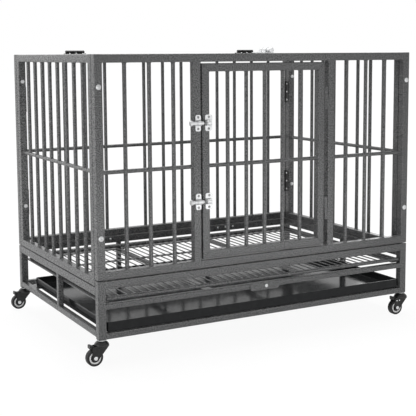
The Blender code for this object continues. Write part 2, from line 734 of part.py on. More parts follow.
def castor(corner, x, y):
    """A swivel castor: stem in the post, domed fork, wheel on a riveted axle, and a brake pedal."""
    hub_x, hub_z = x - TRAIL, WHEEL_R
    pivot_x, pivot_z = x + BRAKE_PIVOT[0], BRAKE_PIVOT[1]

    def stem(bm):
        collar, top = FOOT - SEAM, FOOT + STEM_LONG
        turned(bm, "Z", (x, y, 0.0), [(0.0, KING_LOW), (KING_R, KING_LOW), (KING_R, COLLAR_LOW),
               (COLLAR_R, COLLAR_LOW), (COLLAR_R, collar), (STEM_R, collar), (STEM_R, top), (0.0, top)], 12)

    def dome(bm):
        turned(bm, "Z", (x, y, 0.0), [(0.0, DOME_LOW), (DOME_R - 0.001, DOME_LOW), (DOME_R, 0.0470),
               (DOME_R, 0.0500), (0.0155, 0.0545), (0.0105, DOME_TOP - 0.0005), (0.0075, DOME_TOP),
               (KING_R + 0.0003, DOME_TOP), (KING_R + 0.0003, 0.0470), (0.0, 0.0470)], 12)

    def cheeks(bm):
        outline = [(x + 0.0120, 0.0475), (x + 0.0120, 0.0440)]
        for k in range(7):
            angle = math.radians(-38 - 24 * k)
            outline.append((hub_x + 0.0085 * math.cos(angle), hub_z + 0.0085 * math.sin(angle)))
        outline += [(x - 0.0262, 0.0440), (x - 0.0245, 0.0482), (x - 0.0180, 0.0482)]
        prism(bm, "Y", outline, y - CHEEK_OUT, y - CHEEK_IN)
        prism(bm, "Y", outline, y + CHEEK_IN, y + CHEEK_OUT)

    def axle_hole(bm):
        rod(bm, "Y", hub_x, hub_z, y - 0.015, y + 0.015, AXLE_R + 0.0003, 12)

    def wheel(bm):
        corner_r = WHEEL_R / math.cos(math.pi / WHEEL_SIDES)
        half = WHEEL_HALF
        profile = [(AXLE_R + 0.0002, -0.0060), (0.0138, -0.0060), (0.0150, -half), (0.0187, -half),
                   (corner_r, -0.0055), (corner_r, 0.0055), (0.0187, half), (0.0150, half),
                   (0.0138, 0.0060), (AXLE_R + 0.0002, 0.0060)]
        turned(bm, "Y", (hub_x, y, hub_z), profile, WHEEL_SIDES)
        half_step = math.pi / WHEEL_SIDES
        spin = [math.cos(half_step), math.sin(half_step)]
        for vert in bm.verts:
            u, v = vert.co.x - hub_x, vert.co.z - hub_z
            vert.co.x = hub_x + u * spin[0] - v * spin[1]
            vert.co.z = hub_z + u * spin[1] + v * spin[0]

    def axle(bm):
        neck = CHEEK_OUT + SEAM
        half = [(AXLE_R, neck), (RIVET_R, neck), (RIVET_R, RIVET_END), (0.0, RIVET_END)]
        profile = [(radius, -height) for radius, height in reversed(half)] + half
        turned(bm, "Y", (hub_x, y, hub_z), profile, 12)

    def brake(bm):
        outline = [(x + u, v) for u, v in BRAKE_OUTLINE]
        prism(bm, "Y", outline, y - BRAKE_HALF, y + BRAKE_HALF)

    name = f"castor_{corner}"
    piece(f"{name}_stem", ZINC, stem, round_piece=True)
    piece(f"{name}_fork", BLACK_STEEL, dome, [cheeks], [axle_hole], origin=(x, y, 0.0), round_piece=True)
    piece(f"{name}_wheel", BLACK_PLASTIC, wheel, origin=(hub_x, y, hub_z), round_piece=True)
    piece(f"{name}_axle", ZINC, axle, origin=(x, y, 0.0), round_piece=True)
    piece(f"{name}_brake", BLACK_STEEL, brake, origin=(pivot_x, y, pivot_z))


clear_scene()
cage = bpy.data.objects.new("cage", None)
cage.location = (CAGE_X, CAGE_Y, 0.0)
bpy.context.scene.collection.objects.link(cage)

base_front()
base_back()
base_side("base_left", -1)
base_side("base_right", 1)
tray_cross_bar()
front_panel()
side_panel("left_panel", -1)
side_panel("right_panel", 1)
back_panel()
door()
lid()
grate()
tray()
for level, (low, high) in DOOR_HINGES.items():
    door_hinge(level, low, high)
lid_hinge("left", -LID_HINGE_X)
lid_hinge("right", LID_HINGE_X)
for level, height in LATCH_Z.items():
    slide_bolt(f"door_{level}", "X", "Z", FRONT, LATCH_POST_X, height, KEEPER_X, BOLT_TIP_X)
slide_bolt("lid", "Y", "X", TOP, FRONT + TUBE / 2, LID_LATCH_X, LID_KEEPER_Y, LID_BOLT_TIP_Y)
turn_latch()
for side_name, side in (("left", -1), ("right", 1)):
    for level, height in BOLT_HEIGHTS.items():
        corner_bolt(f"corner_bolt_{level}_{side_name}", side * CASTOR_X, height)
    for level, height in FOLD_HEIGHTS.items():
        fold_hinge(f"fold_hinge_{level}_{side_name}", side, height)
    castor(f"front_{side_name}", side * CASTOR_X, -CASTOR_Y)
    castor(f"back_{side_name}", side * CASTOR_X, CASTOR_Y)
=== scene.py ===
import math

import bmesh
import bpy
from mathutils import Matrix, Vector


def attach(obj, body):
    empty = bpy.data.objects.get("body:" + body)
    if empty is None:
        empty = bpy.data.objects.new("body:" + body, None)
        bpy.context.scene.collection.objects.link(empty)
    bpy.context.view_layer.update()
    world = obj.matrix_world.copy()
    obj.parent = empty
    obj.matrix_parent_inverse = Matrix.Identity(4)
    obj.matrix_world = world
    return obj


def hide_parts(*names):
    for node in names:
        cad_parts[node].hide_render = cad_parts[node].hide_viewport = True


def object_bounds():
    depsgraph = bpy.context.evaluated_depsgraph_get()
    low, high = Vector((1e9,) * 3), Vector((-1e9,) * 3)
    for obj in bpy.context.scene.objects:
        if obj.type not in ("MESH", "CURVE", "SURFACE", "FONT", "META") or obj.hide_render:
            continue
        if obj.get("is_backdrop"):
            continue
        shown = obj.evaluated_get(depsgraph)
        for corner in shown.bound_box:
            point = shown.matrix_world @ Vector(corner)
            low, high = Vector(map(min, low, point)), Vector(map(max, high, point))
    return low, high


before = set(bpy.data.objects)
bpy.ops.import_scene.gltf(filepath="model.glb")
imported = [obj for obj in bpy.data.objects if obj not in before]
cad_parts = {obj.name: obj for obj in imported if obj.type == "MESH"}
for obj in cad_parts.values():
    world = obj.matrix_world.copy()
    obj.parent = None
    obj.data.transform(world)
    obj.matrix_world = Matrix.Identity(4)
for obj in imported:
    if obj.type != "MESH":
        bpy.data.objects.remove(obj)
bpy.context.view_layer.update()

# ---- Base frame: front ----
# The cage stands on a welded frame of square steel tube. Its front is two corner posts with a wide rail
# on top, a thinner rail under the grate's slot and a sill, all MIG welded and then painted with a grey
# hammer finish, which dries into a fine light and dark mottle.
CAGE_MIDDLE = (0.01075, 0.004, 0.0)
HALF_X = 0.460
FRONT, BACK = -0.3015, 0.3015
FOOT = 0.061
TUBE = 0.020
THIN_TUBE = 0.015
TUBE_EDGE = 0.0022
BURR = 0.0006
FLUSH = 0.0001
WELD_IN = 0.003
TUBE_IN = 0.002
BEAD = 0.0013
WELD_FROM, SHORT_WELD, LONG_WELD = 0.003, 0.012, 0.017
POST_INNER = HALF_X - TUBE
BASE_FRONT_TOP = (FOOT + 0.120, FOOT + 0.140)
BASE_MID = (FOOT + 0.0712, FOOT + 0.0850)
BASE_SILL = (FOOT, FOOT + 0.0155)


def add(tree, kind, sockets=None, **options):
    """Put a node in a tree. A socket gets a value, or another node's output to read."""
    made = tree.nodes.new(kind)
    for option, choice in options.items():
        setattr(made, option, choice)
    for socket, value in (sockets or {}).items():
        if isinstance(value, bpy.types.NodeSocket):
            tree.links.new(value, made.inputs[socket])
        else:
            made.inputs[socket].default_value = value
    return made


def new_finish(name):
    """A material with its tree, its shader and its Object coordinates."""
    made = bpy.data.materials.new(name)
    made.use_nodes = True
    tree = made.node_tree
    place = add(tree, "ShaderNodeTexCoord").outputs["Object"]
    return made, tree, tree.nodes["Principled BSDF"], place


def spread(tree, value, low, high, start=0.3, end=0.7):
    """Stretch a pattern's usual range onto low to high."""
    sockets = {0: value, 1: start, 2: end, 3: low, 4: high}
    return add(tree, "ShaderNodeMapRange", sockets).outputs[0]


def blend_colours(tree, share, first, second):
    sockets = {0: share, 6: first, 7: second}
    return add(tree, "ShaderNodeMix", sockets, data_type="RGBA").outputs[2]


def grey(level, tint=0.0):
    return (level, level * (1 + tint / 2), level * (1 + tint), 1.0)


def noise(tree, place, scale, detail, roughness=0.5):
    sockets = {"Vector": place, "Scale": scale, "Detail": detail, "Roughness": roughness}
    return add(tree, "ShaderNodeTexNoise", sockets).outputs["Fac"]


def bump(tree, strength, distance, height, under=None):
    """A bump on the plain surface, or on another bump."""
    sockets = {"Strength": strength, "Distance": distance, "Height": height}
    if under is not None:
        sockets["Normal"] = under
    return add(tree, "ShaderNodeBump", sockets).outputs["Normal"]


def dress(tree, shader, colour, roughness, normal=None):
    """Link a finish's colour, roughness and bump to its shader."""
    for socket, value in (("Base Color", colour), ("Roughness", roughness), ("Normal", normal)):
        if value is not None:
            tree.links.new(value, shader.inputs[socket])


def hammer_finish():
    """Hammer paint: a fine mottle of light and dark flakes over shallow dimples."""
    made, tree, shader, place = new_finish("grey_hammer_paint")
    mottle = noise(tree, place, 400.0, 2.0, 0.7)
    cloud = noise(tree, place, 18.0, 3.0)
    dimple = add(tree, "ShaderNodeTexVoronoi", {"Vector": place, "Scale": 340.0, "Smoothness": 0.6},
                 feature="SMOOTH_F1")
    flake = blend_colours(tree, spread(tree, mottle, 0.0, 1.0, 0.35, 0.67),
                          grey(0.013, 0.03), grey(0.208, 0.02))
    drift = blend_colours(tree, spread(tree, cloud, 0.0, 0.25), flake, grey(0.085, 0.03))
    ripple = bump(tree, 0.45, 0.0004, dimple.outputs["Distance"])
    dress(tree, shader, drift, spread(tree, mottle, 0.20, 0.36), bump(tree, 0.25, 0.0002, mottle, ripple))
    shader.inputs["Metallic"].default_value = 0.10
    shader.inputs["Specular IOR Level"].default_value = 0.38
    return made


def part(shape, finish):
    """Turn a bmesh into a mesh of one finish with its faces outwards."""
    bmesh.ops.recalc_face_normals(shape, faces=shape.faces)
    mesh = bpy.data.meshes.new("part")
    shape.to_mesh(mesh)
    shape.free()
    mesh.materials.append(finish)
    return mesh


def at(axis, along, u, v):
    """A point given along one axis and in the other two, in X, Y, Z order."""
    return {"X": (along, u, v), "Y": (u, along, v), "Z": (u, v, along)}[axis]


def rounded(u, v, radius, steps=4):
    """The outline of a rectangle with round corners."""
    points = []
    for corner, (cu, cv) in enumerate(((u[1], v[1]), (u[0], v[1]), (u[0], v[0]), (u[1], v[0]))):
        cu += radius if corner in (1, 2) else -radius
        cv += radius if corner in (2, 3) else -radius
        for step in range(steps + 1):
            angle = math.pi / 2 * (corner + step / steps)
            points.append((cu + radius * math.cos(angle), cv + radius * math.sin(angle)))
    return points


def skin(rings, finish):
    """A closed shell through matching rings of points, with a cap on its first and last ring."""
    shape = bmesh.new()
    loops = [[shape.verts.new(point) for point in ring] for ring in rings]
    shape.faces.new(loops[0])
    shape.faces.new(loops[-1])
    for low, high in zip(loops, loops[1:]):
        for k in range(len(low)):
            shape.faces.new((low[k - 1], low[k], high[k], high[k - 1]))
    bmesh.ops.remove_doubles(shape, verts=shape.verts, dist=1e-6)
    return part(shape, finish)


def tube(axis, u, v, ends, flush=0.0, slant=None):
    """Painted square tube with round edges and deburred ends; slant cuts both ends to a mitre."""
    rings = []
    low, high = ends
    for along, inset, way in ((low, BURR, 1), (low + BURR, 0, 1), (high - BURR, 0, -1), (high, BURR, -1)):
        back = flush + inset
        outline = rounded((u[0] + back, u[1] - back), (v[0] + back, v[1] - back), TUBE_EDGE - inset)
        rings.append([at(axis, along + way * (slant(a, b) if slant else 0.0), a, b) for a, b in outline])
    return skin(rings, PAINT)


def new_tree(name, sizes):
    """A Geometry Nodes tree with a named input for each size, and a material for what it makes."""
    tree = bpy.data.node_groups.new(name, "GeometryNodeTree")
    tree.interface.new_socket("Geometry", in_out="OUTPUT", socket_type="NodeSocketGeometry")
    tree.interface.new_socket("Seams", in_out="INPUT", socket_type="NodeSocketGeometry")
    for label, kind in sizes.items():
        tree.interface.new_socket(label, in_out="INPUT", socket_type=f"NodeSocket{kind}")
    tree.interface.new_socket("Finish", in_out="INPUT", socket_type="NodeSocketMaterial")
    return tree, tree.nodes.new("NodeGroupInput").outputs


def close_tree(tree, geometry, finish):
    """End a tree: instances made real, and the finish set."""
    real = add(tree, "GeometryNodeRealizeInstances", {0: geometry})
    faced = add(tree, "GeometryNodeSetMaterial", {"Geometry": real.outputs[0], "Material": finish})
    add(tree, "NodeGroupOutput", {0: faced.outputs[0]})


def grow(tree, finish, sizes, lines=()):
    """Run a tree once on some lines, and return the plain mesh that it makes."""
    mesh = bpy.data.meshes.new("lines")
    points = [point for line in lines for point in line]
    mesh.from_pydata(points, [(2 * k, 2 * k + 1) for k in range(len(lines))], [])
    carrier = bpy.data.objects.new("carrier", mesh)
    bpy.context.scene.collection.objects.link(carrier)
    step = carrier.modifiers.new("grow", "NODES")
    step.node_group = tree
    for socket in tree.interface.items_tree:
        if socket.name in sizes:
            step[socket.identifier] = sizes[socket.name]
        elif socket.name == "Finish":
            step[socket.identifier] = finish
    graph = bpy.context.evaluated_depsgraph_get()
    grown = bpy.data.meshes.new_from_object(carrier.evaluated_get(graph))
    bpy.data.objects.remove(carrier)
    return grown


def maths(tree, operation, *values):
    return add(tree, "ShaderNodeMath", dict(enumerate(values)), operation=operation).outputs[0]


def sweep(tree, curve, section, scale=1.0):
    """Carry a section along a curve, as wide as scale says, and cap both ends."""
    sockets = {"Curve": curve, "Profile Curve": section, "Scale": scale, "Fill Caps": True}
    return add(tree, "GeometryNodeCurveToMesh", sockets).outputs[0]


def weld_tree():
    """A weld bead along each line: a row of small humps of uneven width."""
    tree, size = new_tree("weld_bead", {"Radius": "Float", "Hump": "Float", "Unevenness": "Float"})
    run = add(tree, "GeometryNodeMeshToCurve", {0: size["Seams"]})
    fine = add(tree, "GeometryNodeResampleCurve", {"Curve": run.outputs[0], "Length": 0.0006}, mode="LENGTH")
    along = add(tree, "GeometryNodeSplineParameter").outputs["Length"]
    wave = maths(tree, "SINE", maths(tree, "DIVIDE", along, size["Hump"]))
    place = add(tree, "GeometryNodeInputPosition").outputs[0]
    rough = maths(tree, "MULTIPLY_ADD", noise(tree, place, 260.0, 1.0), size["Unevenness"], 0.75)
    width = maths(tree, "MULTIPLY_ADD", wave, 0.10, rough)
    section = add(tree, "GeometryNodeCurvePrimitiveCircle", {"Resolution": 8, "Radius": size["Radius"]})
    close_tree(tree, sweep(tree, fine.outputs[0], section.outputs[0], width), size["Finish"])
    return tree


def settle(name, parts, body, nodes=()):
    """Join finished parts, move them from the cage's middle to the world, and hang them on a body."""
    finishes, whole = [], bmesh.new()
    for mesh in parts:
        finish = mesh.materials[-1]
        if finish not in finishes:
            finishes.append(finish)
        for face in mesh.polygons:
            face.material_index = finishes.index(finish)
        whole.from_mesh(mesh)
        bpy.data.meshes.remove(mesh)
    bmesh.ops.translate(whole, verts=whole.verts, vec=CAGE_MIDDLE)
    bmesh.ops.recalc_face_normals(whole, faces=whole.faces)
    rough = bpy.data.meshes.new(name)
    whole.to_mesh(rough)
    whole.free()
    for finish in finishes:
        rough.materials.append(finish)
    rough.shade_smooth()
    rough.set_sharp_from_angle(angle=math.radians(36))
    item = bpy.data.objects.new(name, rough)
    bpy.context.scene.collection.objects.link(item)
    item.modifiers.new("flat_faces_stay_flat", "WEIGHTED_NORMAL").keep_sharp = True
    graph = bpy.context.evaluated_depsgraph_get()
    item.data = bpy.data.meshes.new_from_object(item.evaluated_get(graph))
    item.modifiers.clear()
    if nodes:
        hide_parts(*nodes)
    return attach(item, body)


def welds(axis, spots, ends):
    """Beads along one axis between the same two ends, one at each spot in the other two axes."""
    lines = [[at(axis, along, u, v) for along in ends] for u, v in spots]
    return grow(WELD_BEAD, PAINT, {"Radius": BEAD, "Hump": 0.0003, "Unevenness": 0.5}, lines)


PAINT = hammer_finish()
WELD_BEAD = weld_tree()

parts = []
for side in (-1, 1):
    across = sorted((side * HALF_X, side * POST_INNER))
    parts.append(tube("Z", across, (FRONT, FRONT + TUBE), (FOOT, BASE_FRONT_TOP[1])))
reach = POST_INNER + TUBE_IN
for deep, tall in ((TUBE, BASE_FRONT_TOP), (THIN_TUBE, BASE_MID), (THIN_TUBE, BASE_SILL)):
    parts.append(tube("X", (FRONT, FRONT + deep), tall, (-reach, reach), FLUSH))
spots = [(x, z) for x in (-POST_INNER, POST_INNER)
         for z in (BASE_FRONT_TOP[0], BASE_MID[1], BASE_MID[0], BASE_SILL[1])]
parts.append(welds("Y", spots, (FRONT + WELD_FROM, FRONT + SHORT_WELD)))
settle("front_base_frame", parts, "frame", ["base_front"])

# ---- Base frame: back and sides ----
# The back is made like the front, with two thin uprights and a ledge. Two flats run forward from the
# uprights to carry the grate's middle. Each side has a rail, a thin sill, one post between them and a
# ledge of steel flat for the grate. Cross head screws sit in the back rail.
BASE_RAIL = (FOOT + 0.1035, FOOT + 0.1235)
SILL = (FOOT + 0.004, FOOT + 0.019)
UPRIGHT = 0.013
UPRIGHT_X = HALF_X / 3
UPRIGHT_BACK = BACK - 0.001
SIDE_POST_Y = FRONT + 0.2825
BASE_SCREWS_X = (-0.184, 0.185, 0.2136, 0.240)
BASE_SCREWS_Z = FOOT + 0.1155
FLAT_THICK = 0.003
FLAT_EDGE = 0.0008
SUPPORT_HALF, SUPPORT_Z = 0.0125, FOOT + 0.080
LEDGE, LEDGE_TOP = (THIN_TUBE - 0.0015, 0.035), FOOT + 0.0867
SEAM = 0.0003
GAP = 0.0022


def bar_tree():
    """A row of round bars, each with a weld collar at both ends."""
    tree, size = new_tree("bar_row", {"First foot": "Vector", "Bar": "Vector", "Pitch": "Vector", "Bars": "Int",
                                      "Radius": "Float", "Sides": "Int", "Collar": "Float", "Flare": "Float"})
    circle = {"Resolution": size["Sides"], "Radius": size["Radius"]}
    section = add(tree, "GeometryNodeCurvePrimitiveCircle", circle).outputs[0]
    middle = add(tree, "GeometryNodeCurvePrimitiveLine", {"Start": (0, 0, 0), "End": size["Bar"]})
    pieces = [sweep(tree, middle.outputs[0], section)]
    way = add(tree, "ShaderNodeVectorMath", {0: size["Bar"]}, operation="NORMALIZE")
    rise = add(tree, "ShaderNodeVectorMath", {0: way.outputs[0], "Scale": size["Collar"]}, operation="SCALE")
    under = add(tree, "ShaderNodeVectorMath", {0: size["Bar"], 1: rise.outputs[0]}, operation="SUBTRACT")
    left = maths(tree, "SUBTRACT", 1.0, add(tree, "GeometryNodeSplineParameter").outputs["Factor"])
    width = maths(tree, "MULTIPLY_ADD", maths(tree, "POWER", left, 2.0), size["Flare"], 1.01)
    for start, end in (((0, 0, 0), rise.outputs[0]), (size["Bar"], under.outputs[0])):
        short = add(tree, "GeometryNodeCurvePrimitiveLine", {"Start": start, "End": end})
        fine = add(tree, "GeometryNodeResampleCurve", {"Curve": short.outputs[0], "Count": 4})
        pieces.append(sweep(tree, fine.outputs[0], section, width))
    whole = tree.nodes.new("GeometryNodeJoinGeometry")
    for piece in pieces:
        tree.links.new(piece, whole.inputs[0])
    row = add(tree, "GeometryNodeMeshLine", {"Count": size["Bars"], "Start Location": size["First foot"],
                                             "Offset": size["Pitch"]})
    placed = add(tree, "GeometryNodeInstanceOnPoints", {"Points": row.outputs[0], "Instance": whole.outputs[0]})
    close_tree(tree, placed.outputs[0], size["Finish"])
    return tree


def fastener_tree():
    """A row of round heads that face one way, with a cross recess if they are screws."""
    tree, size = new_tree("fastener_row", {"First": "Vector", "Pitch": "Vector", "Count": "Int", "Facing": "Vector",
                                           "Head radius": "Float", "Head height": "Float", "Fullness": "Float",
                                           "Recess": "Float"})
    line = add(tree, "GeometryNodeCurvePrimitiveLine", {"Start": (0, 0, -0.0005), "End": (0, 0, 1)})
    fine = add(tree, "GeometryNodeResampleCurve", {"Curve": line.outputs[0], "Count": 9})
    share = add(tree, "GeometryNodeSplineParameter").outputs["Factor"]
    turn = maths(tree, "MULTIPLY", share, math.pi / 2)
    clear = maths(tree, "MAXIMUM", maths(tree, "COSINE", turn), 0.0001)
    width = maths(tree, "POWER", clear, size["Fullness"])
    level = maths(tree, "MULTIPLY", maths(tree, "SINE", turn), size["Head height"])
    place = add(tree, "ShaderNodeCombineXYZ", {"Z": level})
    bent = add(tree, "GeometryNodeSetPosition", {"Geometry": fine.outputs[0], "Position": place.outputs[0]})
    section = add(tree, "GeometryNodeCurvePrimitiveCircle", {"Resolution": 20, "Radius": size["Head radius"]})
    dome = sweep(tree, bent.outputs[0], section.outputs[0], width)
    head = add(tree, "GeometryNodeMergeByDistance", {"Geometry": dome, "Distance": 0.00001})
    slim = maths(tree, "MULTIPLY", size["Recess"], 0.26)
    lift = add(tree, "ShaderNodeCombineXYZ", {"Z": size["Head height"]})
    carved = add(tree, "GeometryNodeMeshBoolean", {"Mesh 1": head.outputs[0]}, operation="DIFFERENCE")
    for x, y in ((size["Recess"], slim), (slim, size["Recess"])):
        block = add(tree, "ShaderNodeCombineXYZ", {"X": x, "Y": y, "Z": size["Head height"]})
        slot = add(tree, "GeometryNodeMeshCube", {"Size": block.outputs[0]})
        cut = add(tree, "GeometryNodeTransform", {"Geometry": slot.outputs[0], "Translation": lift.outputs[0]})
        tree.links.new(cut.outputs[0], carved.inputs["Mesh 2"])
    crossed = add(tree, "FunctionNodeCompare", {0: size["Recess"], 1: 0.00001}, operation="GREATER_THAN")
    chosen = add(tree, "GeometryNodeSwitch", {"Switch": crossed.outputs[0], "False": head.outputs[0],
                                              "True": carved.outputs[0]}, input_type="GEOMETRY")
    row = add(tree, "GeometryNodeMeshLine", {"Count": size["Count"], "Start Location": size["First"],
                                             "Offset": size["Pitch"]})
    face = add(tree, "FunctionNodeAlignRotationToVector", {"Vector": size["Facing"]}, axis="Z")
    placed = add(tree, "GeometryNodeInstanceOnPoints", {"Points": row.outputs[0], "Instance": chosen.outputs[0],
                                                        "Rotation": face.outputs[0]})
    close_tree(tree, placed.outputs[0], size["Finish"])
    return tree


def zinc_plate(name, level):
    """Zinc plate: pale, half bright metal with a fine spangle bumped into it and a little haze."""
    made, tree, shader, place = new_finish(name)
    haze = noise(tree, place, 240.0, 4.0)
    spangle = add(tree, "ShaderNodeTexVoronoi", {"Vector": place, "Scale": 900.0})
    tone = blend_colours(tree, spread(tree, haze, 0.0, 1.0), grey(level, 0.02), grey(level * 1.3, 0.02))
    dress(tree, shader, tone, spread(tree, haze, 0.32, 0.46),
          bump(tree, 0.15, 0.0001, spangle.outputs["Distance"]))
    shader.inputs["Metallic"].default_value = 0.55
    return made


def fasteners(first, facing, radius, height, finish, pitch=(0, 0, 0), count=1, recess=0.0, fullness=1.0):
    sizes = {"First": first, "Pitch": pitch, "Count": count, "Facing": facing, "Head radius": radius,
             "Head height": height, "Fullness": fullness, "Recess": recess}
    return grow(FASTENER_ROW, finish, sizes)


def flat_bar(axis, u, v, ends):
    """A length of painted flat bar along one axis."""
    strip = rounded(u, v, FLAT_EDGE)
    return skin([[at(axis, along, a, b) for a, b in strip] for along in ends], PAINT)


ZINC = zinc_plate("bright_zinc", 0.58)
# A darker copy of the same zinc for the slide bolts' screws: painted shade for the shade that falls around their
# heads.
SHADE_DARKENED_ZINC = zinc_plate("zinc_screws_with_painted_shade", 0.25)
BAR_ROW = bar_tree()
FASTENER_ROW = fastener_tree()

parts = []
for side in (-1, 1):
    across = sorted((side * HALF_X, side * POST_INNER))
    parts.append(tube("Z", across, (BACK - TUBE, BACK), (FOOT, BASE_RAIL[1])))
    middle = side * UPRIGHT_X
    across = (middle - UPRIGHT / 2, middle + UPRIGHT / 2)
    deep = (UPRIGHT_BACK - UPRIGHT, UPRIGHT_BACK)
    parts.append(tube("Z", across, deep, (SILL[1] - WELD_IN, BASE_RAIL[0] + WELD_IN)))
    across = (middle - SUPPORT_HALF, middle + SUPPORT_HALF)
    ends = (FRONT + THIN_TUBE + SEAM, deep[0] + WELD_IN)
    parts.append(flat_bar("Y", across, (SUPPORT_Z - FLAT_THICK, SUPPORT_Z), ends))
parts.append(tube("X", (BACK - TUBE, BACK), BASE_RAIL, (-reach, reach), FLUSH))
parts.append(tube("X", (BACK - THIN_TUBE, BACK), SILL, (-reach, reach), FLUSH))
ledge_z = (LEDGE_TOP - FLAT_THICK, LEDGE_TOP)
ledge_reach = HALF_X - LEDGE[1] - SEAM
parts.append(flat_bar("X", (BACK - LEDGE[1], BACK - LEDGE[0]), ledge_z, (-ledge_reach, ledge_reach)))
rails = (BASE_RAIL[0], SILL[1])
spots = [(x, z) for x in (-POST_INNER, POST_INNER) for z in rails]
spots += [(x + edge, z) for x in (-UPRIGHT_X, UPRIGHT_X) for edge in (-UPRIGHT / 2, UPRIGHT / 2) for z in rails]
parts.append(welds("Y", spots, (BACK - SHORT_WELD, BACK - WELD_FROM)))
settle("back_base_frame", parts, "frame", ["base_back"])

for x in BASE_SCREWS_X:
    head = fasteners((x, BACK - TUBE, BASE_SCREWS_Z), (0, -1, 0), 0.0034, 0.0018, ZINC, recess=0.0030)
    settle(f"base_screw_{round(1000 * x)}".replace("-", "left_"), [head], "frame")

for name, side in (("left", -1), ("right", 1)):
    ends = (FRONT + TUBE + SEAM, BACK - TUBE - SEAM)
    across = sorted((side * HALF_X, side * POST_INNER))
    thin = sorted((side * HALF_X, side * (HALF_X - THIN_TUBE)))
    parts = [tube("Y", across, BASE_RAIL, ends), tube("Y", thin, SILL, ends)]
    deep = (SIDE_POST_Y - THIN_TUBE / 2, SIDE_POST_Y + THIN_TUBE / 2)
    parts.append(tube("Z", thin, deep, (SILL[1] - WELD_IN, BASE_RAIL[0] + WELD_IN), 3 * FLUSH))
    shelf = sorted((side * (HALF_X - LEDGE[0]), side * (HALF_X - LEDGE[1])))
    parts.append(flat_bar("Y", shelf, ledge_z, ends))
    parts.append(welds("X", [(y, z) for y in deep for z in rails],
                       (side * (HALF_X - WELD_FROM), side * (HALF_X - SHORT_WELD))))
    settle(f"{name}_base_frame", parts, "frame", [f"base_{name}"])

# ---- Waste tray and the bar under it ----
# The tray is one sheet of 1.5 mm steel, folded up on four sides with a hemmed rim and sprayed gloss black.
# It slides out to the front over a flat bar that is welded across the base.
TRAY_X = HALF_X - 0.0235
TRAY_Y = (FRONT + 0.006, FRONT + 0.530)
TRAY_Z = (FOOT + 0.016, FOOT + 0.0395)
SHEET = 0.0015
HEM = 0.0026
TRAY_CORNER = 0.006
CROSS_BAR_Y = (FRONT + 0.500, FRONT + 0.545)
CROSS_BAR_Z = (BASE_SILL[1] - FLAT_THICK, BASE_SILL[1])


def gloss_black():
    """Sprayed gloss black: a deep coat with slight orange peel and dust."""
    made, tree, shader, place = new_finish("gloss_black_tray_paint")
    dust = noise(tree, place, 60.0, 8.0, 0.7)
    tone = blend_colours(tree, spread(tree, dust, 0.0, 1.0, 0.45, 0.8), grey(0.011, 0.16), grey(0.020, 0.10))
    dent = bump(tree, 0.5, 0.0015, noise(tree, place, 7.0, 1.0))
    peel = bump(tree, 0.2, 0.0002, noise(tree, place, 160.0, 2.0), dent)
    dress(tree, shader, tone, spread(tree, dust, 0.09, 0.17), peel)
    shader.inputs["Specular IOR Level"].default_value = 0.18
    return made


GLOSS_BLACK = gloss_black()
low, high = TRAY_Z
wall = [(0.0020, low), (0.0006, low + 0.0006), (0.0003, low + 0.0020), (0.0003, high - 0.0060)]
wall += [(0.0, high - 0.0055), (0.0, high - 0.0008), (0.0006, high), (HEM - 0.0006, high)]
wall += [(HEM, high - 0.0008), (HEM, high - 0.0055), (SHEET + 0.0003, high - 0.0060)]
wall += [(SHEET + 0.0003, low + 0.0035), (SHEET + 0.0009, low + SHEET + 0.0006), (SHEET + 0.0024, low + SHEET)]
rings = []
for inset, z in wall:
    outline = rounded((-TRAY_X + inset, TRAY_X - inset), (TRAY_Y[0] + inset, TRAY_Y[1] - inset),
                      TRAY_CORNER - inset, 6)
    rings.append([(x, y, z) for x, y in outline])
settle("waste_tray", [skin(rings, GLOSS_BLACK)], "tray", ["tray"])

bar_reach = HALF_X - THIN_TUBE - SEAM
weld_reach = bar_reach - 0.0006
spots = [(x, CROSS_BAR_Z[1]) for x in (-weld_reach, weld_reach)]
parts = [flat_bar("X", CROSS_BAR_Y, CROSS_BAR_Z, (-bar_reach, bar_reach)),
         welds("Y", spots, (CROSS_BAR_Y[0] + 0.004, CROSS_BAR_Y[1] - 0.004))]
settle("bar_under_tray", parts, "frame", ["tray_cross_bar"])

# ---- Floor grate ----
# Steel wires are welded between two round tubes, with two flats across underneath and a runner on each
# side that slides on the base's ledges. The whole grate is painted like the frame.
GRATE_X = HALF_X - 0.0225
GRATE_Y = (FRONT + 0.010, FRONT + 0.572)
GRATE_TUBES = (0.005, 0.006)
GRATE_MID = FOOT + 0.0953
RUNNER_WIDE, RUNNER_Z = 0.004, (FOOT + 0.0871, FOOT + 0.0981)
WIRE = 0.0016
WIRES, WIRE_PITCH, WIRE_SHORT = 40, 0.0215, 0.003
GRATE_FLATS, FLAT_HALF = (-0.095, 0.095), 0.006


def bars(first, bar, pitch, count, radius, sides=20, collar=0.0022, flare=0.38, finish=PAINT):
    sizes = {"First foot": first, "Bar": bar, "Pitch": pitch, "Bars": count, "Radius": radius, "Sides": sides,
             "Collar": collar, "Flare": flare}
    return grow(BAR_ROW, finish, sizes)


wire_run = (0, GRATE_Y[1] - GRATE_Y[0] - 2 * WIRE_SHORT, 0)
parts = [bars((-(WIRES - 1) / 2 * WIRE_PITCH, GRATE_Y[0] + WIRE_SHORT, GRATE_MID), wire_run,
              (WIRE_PITCH, 0, 0), WIRES, WIRE, 10, 0.006, 0.5)]
for y, radius in zip(GRATE_Y, GRATE_TUBES):
    parts.append(bars((-GRATE_X + 0.0004, y, GRATE_MID), (2 * GRATE_X - 0.0008, 0, 0), (0, 0, 0), 1,
                      radius, 24, 0.001, 0.0))
for side in (-1, 1):
    across = sorted((side * GRATE_X, side * (GRATE_X - RUNNER_WIDE)))
    parts.append(flat_bar("Y", across, RUNNER_Z, GRATE_Y))
for y in GRATE_FLATS:
    top = GRATE_MID - WIRE - SEAM
    parts.append(flat_bar("X", (y - FLAT_HALF, y + FLAT_HALF), (top - FLAT_THICK, top),
                          (-GRATE_X + 0.001, GRATE_X - 0.001)))
settle("floor_grate", parts, "grate", ["grate"])

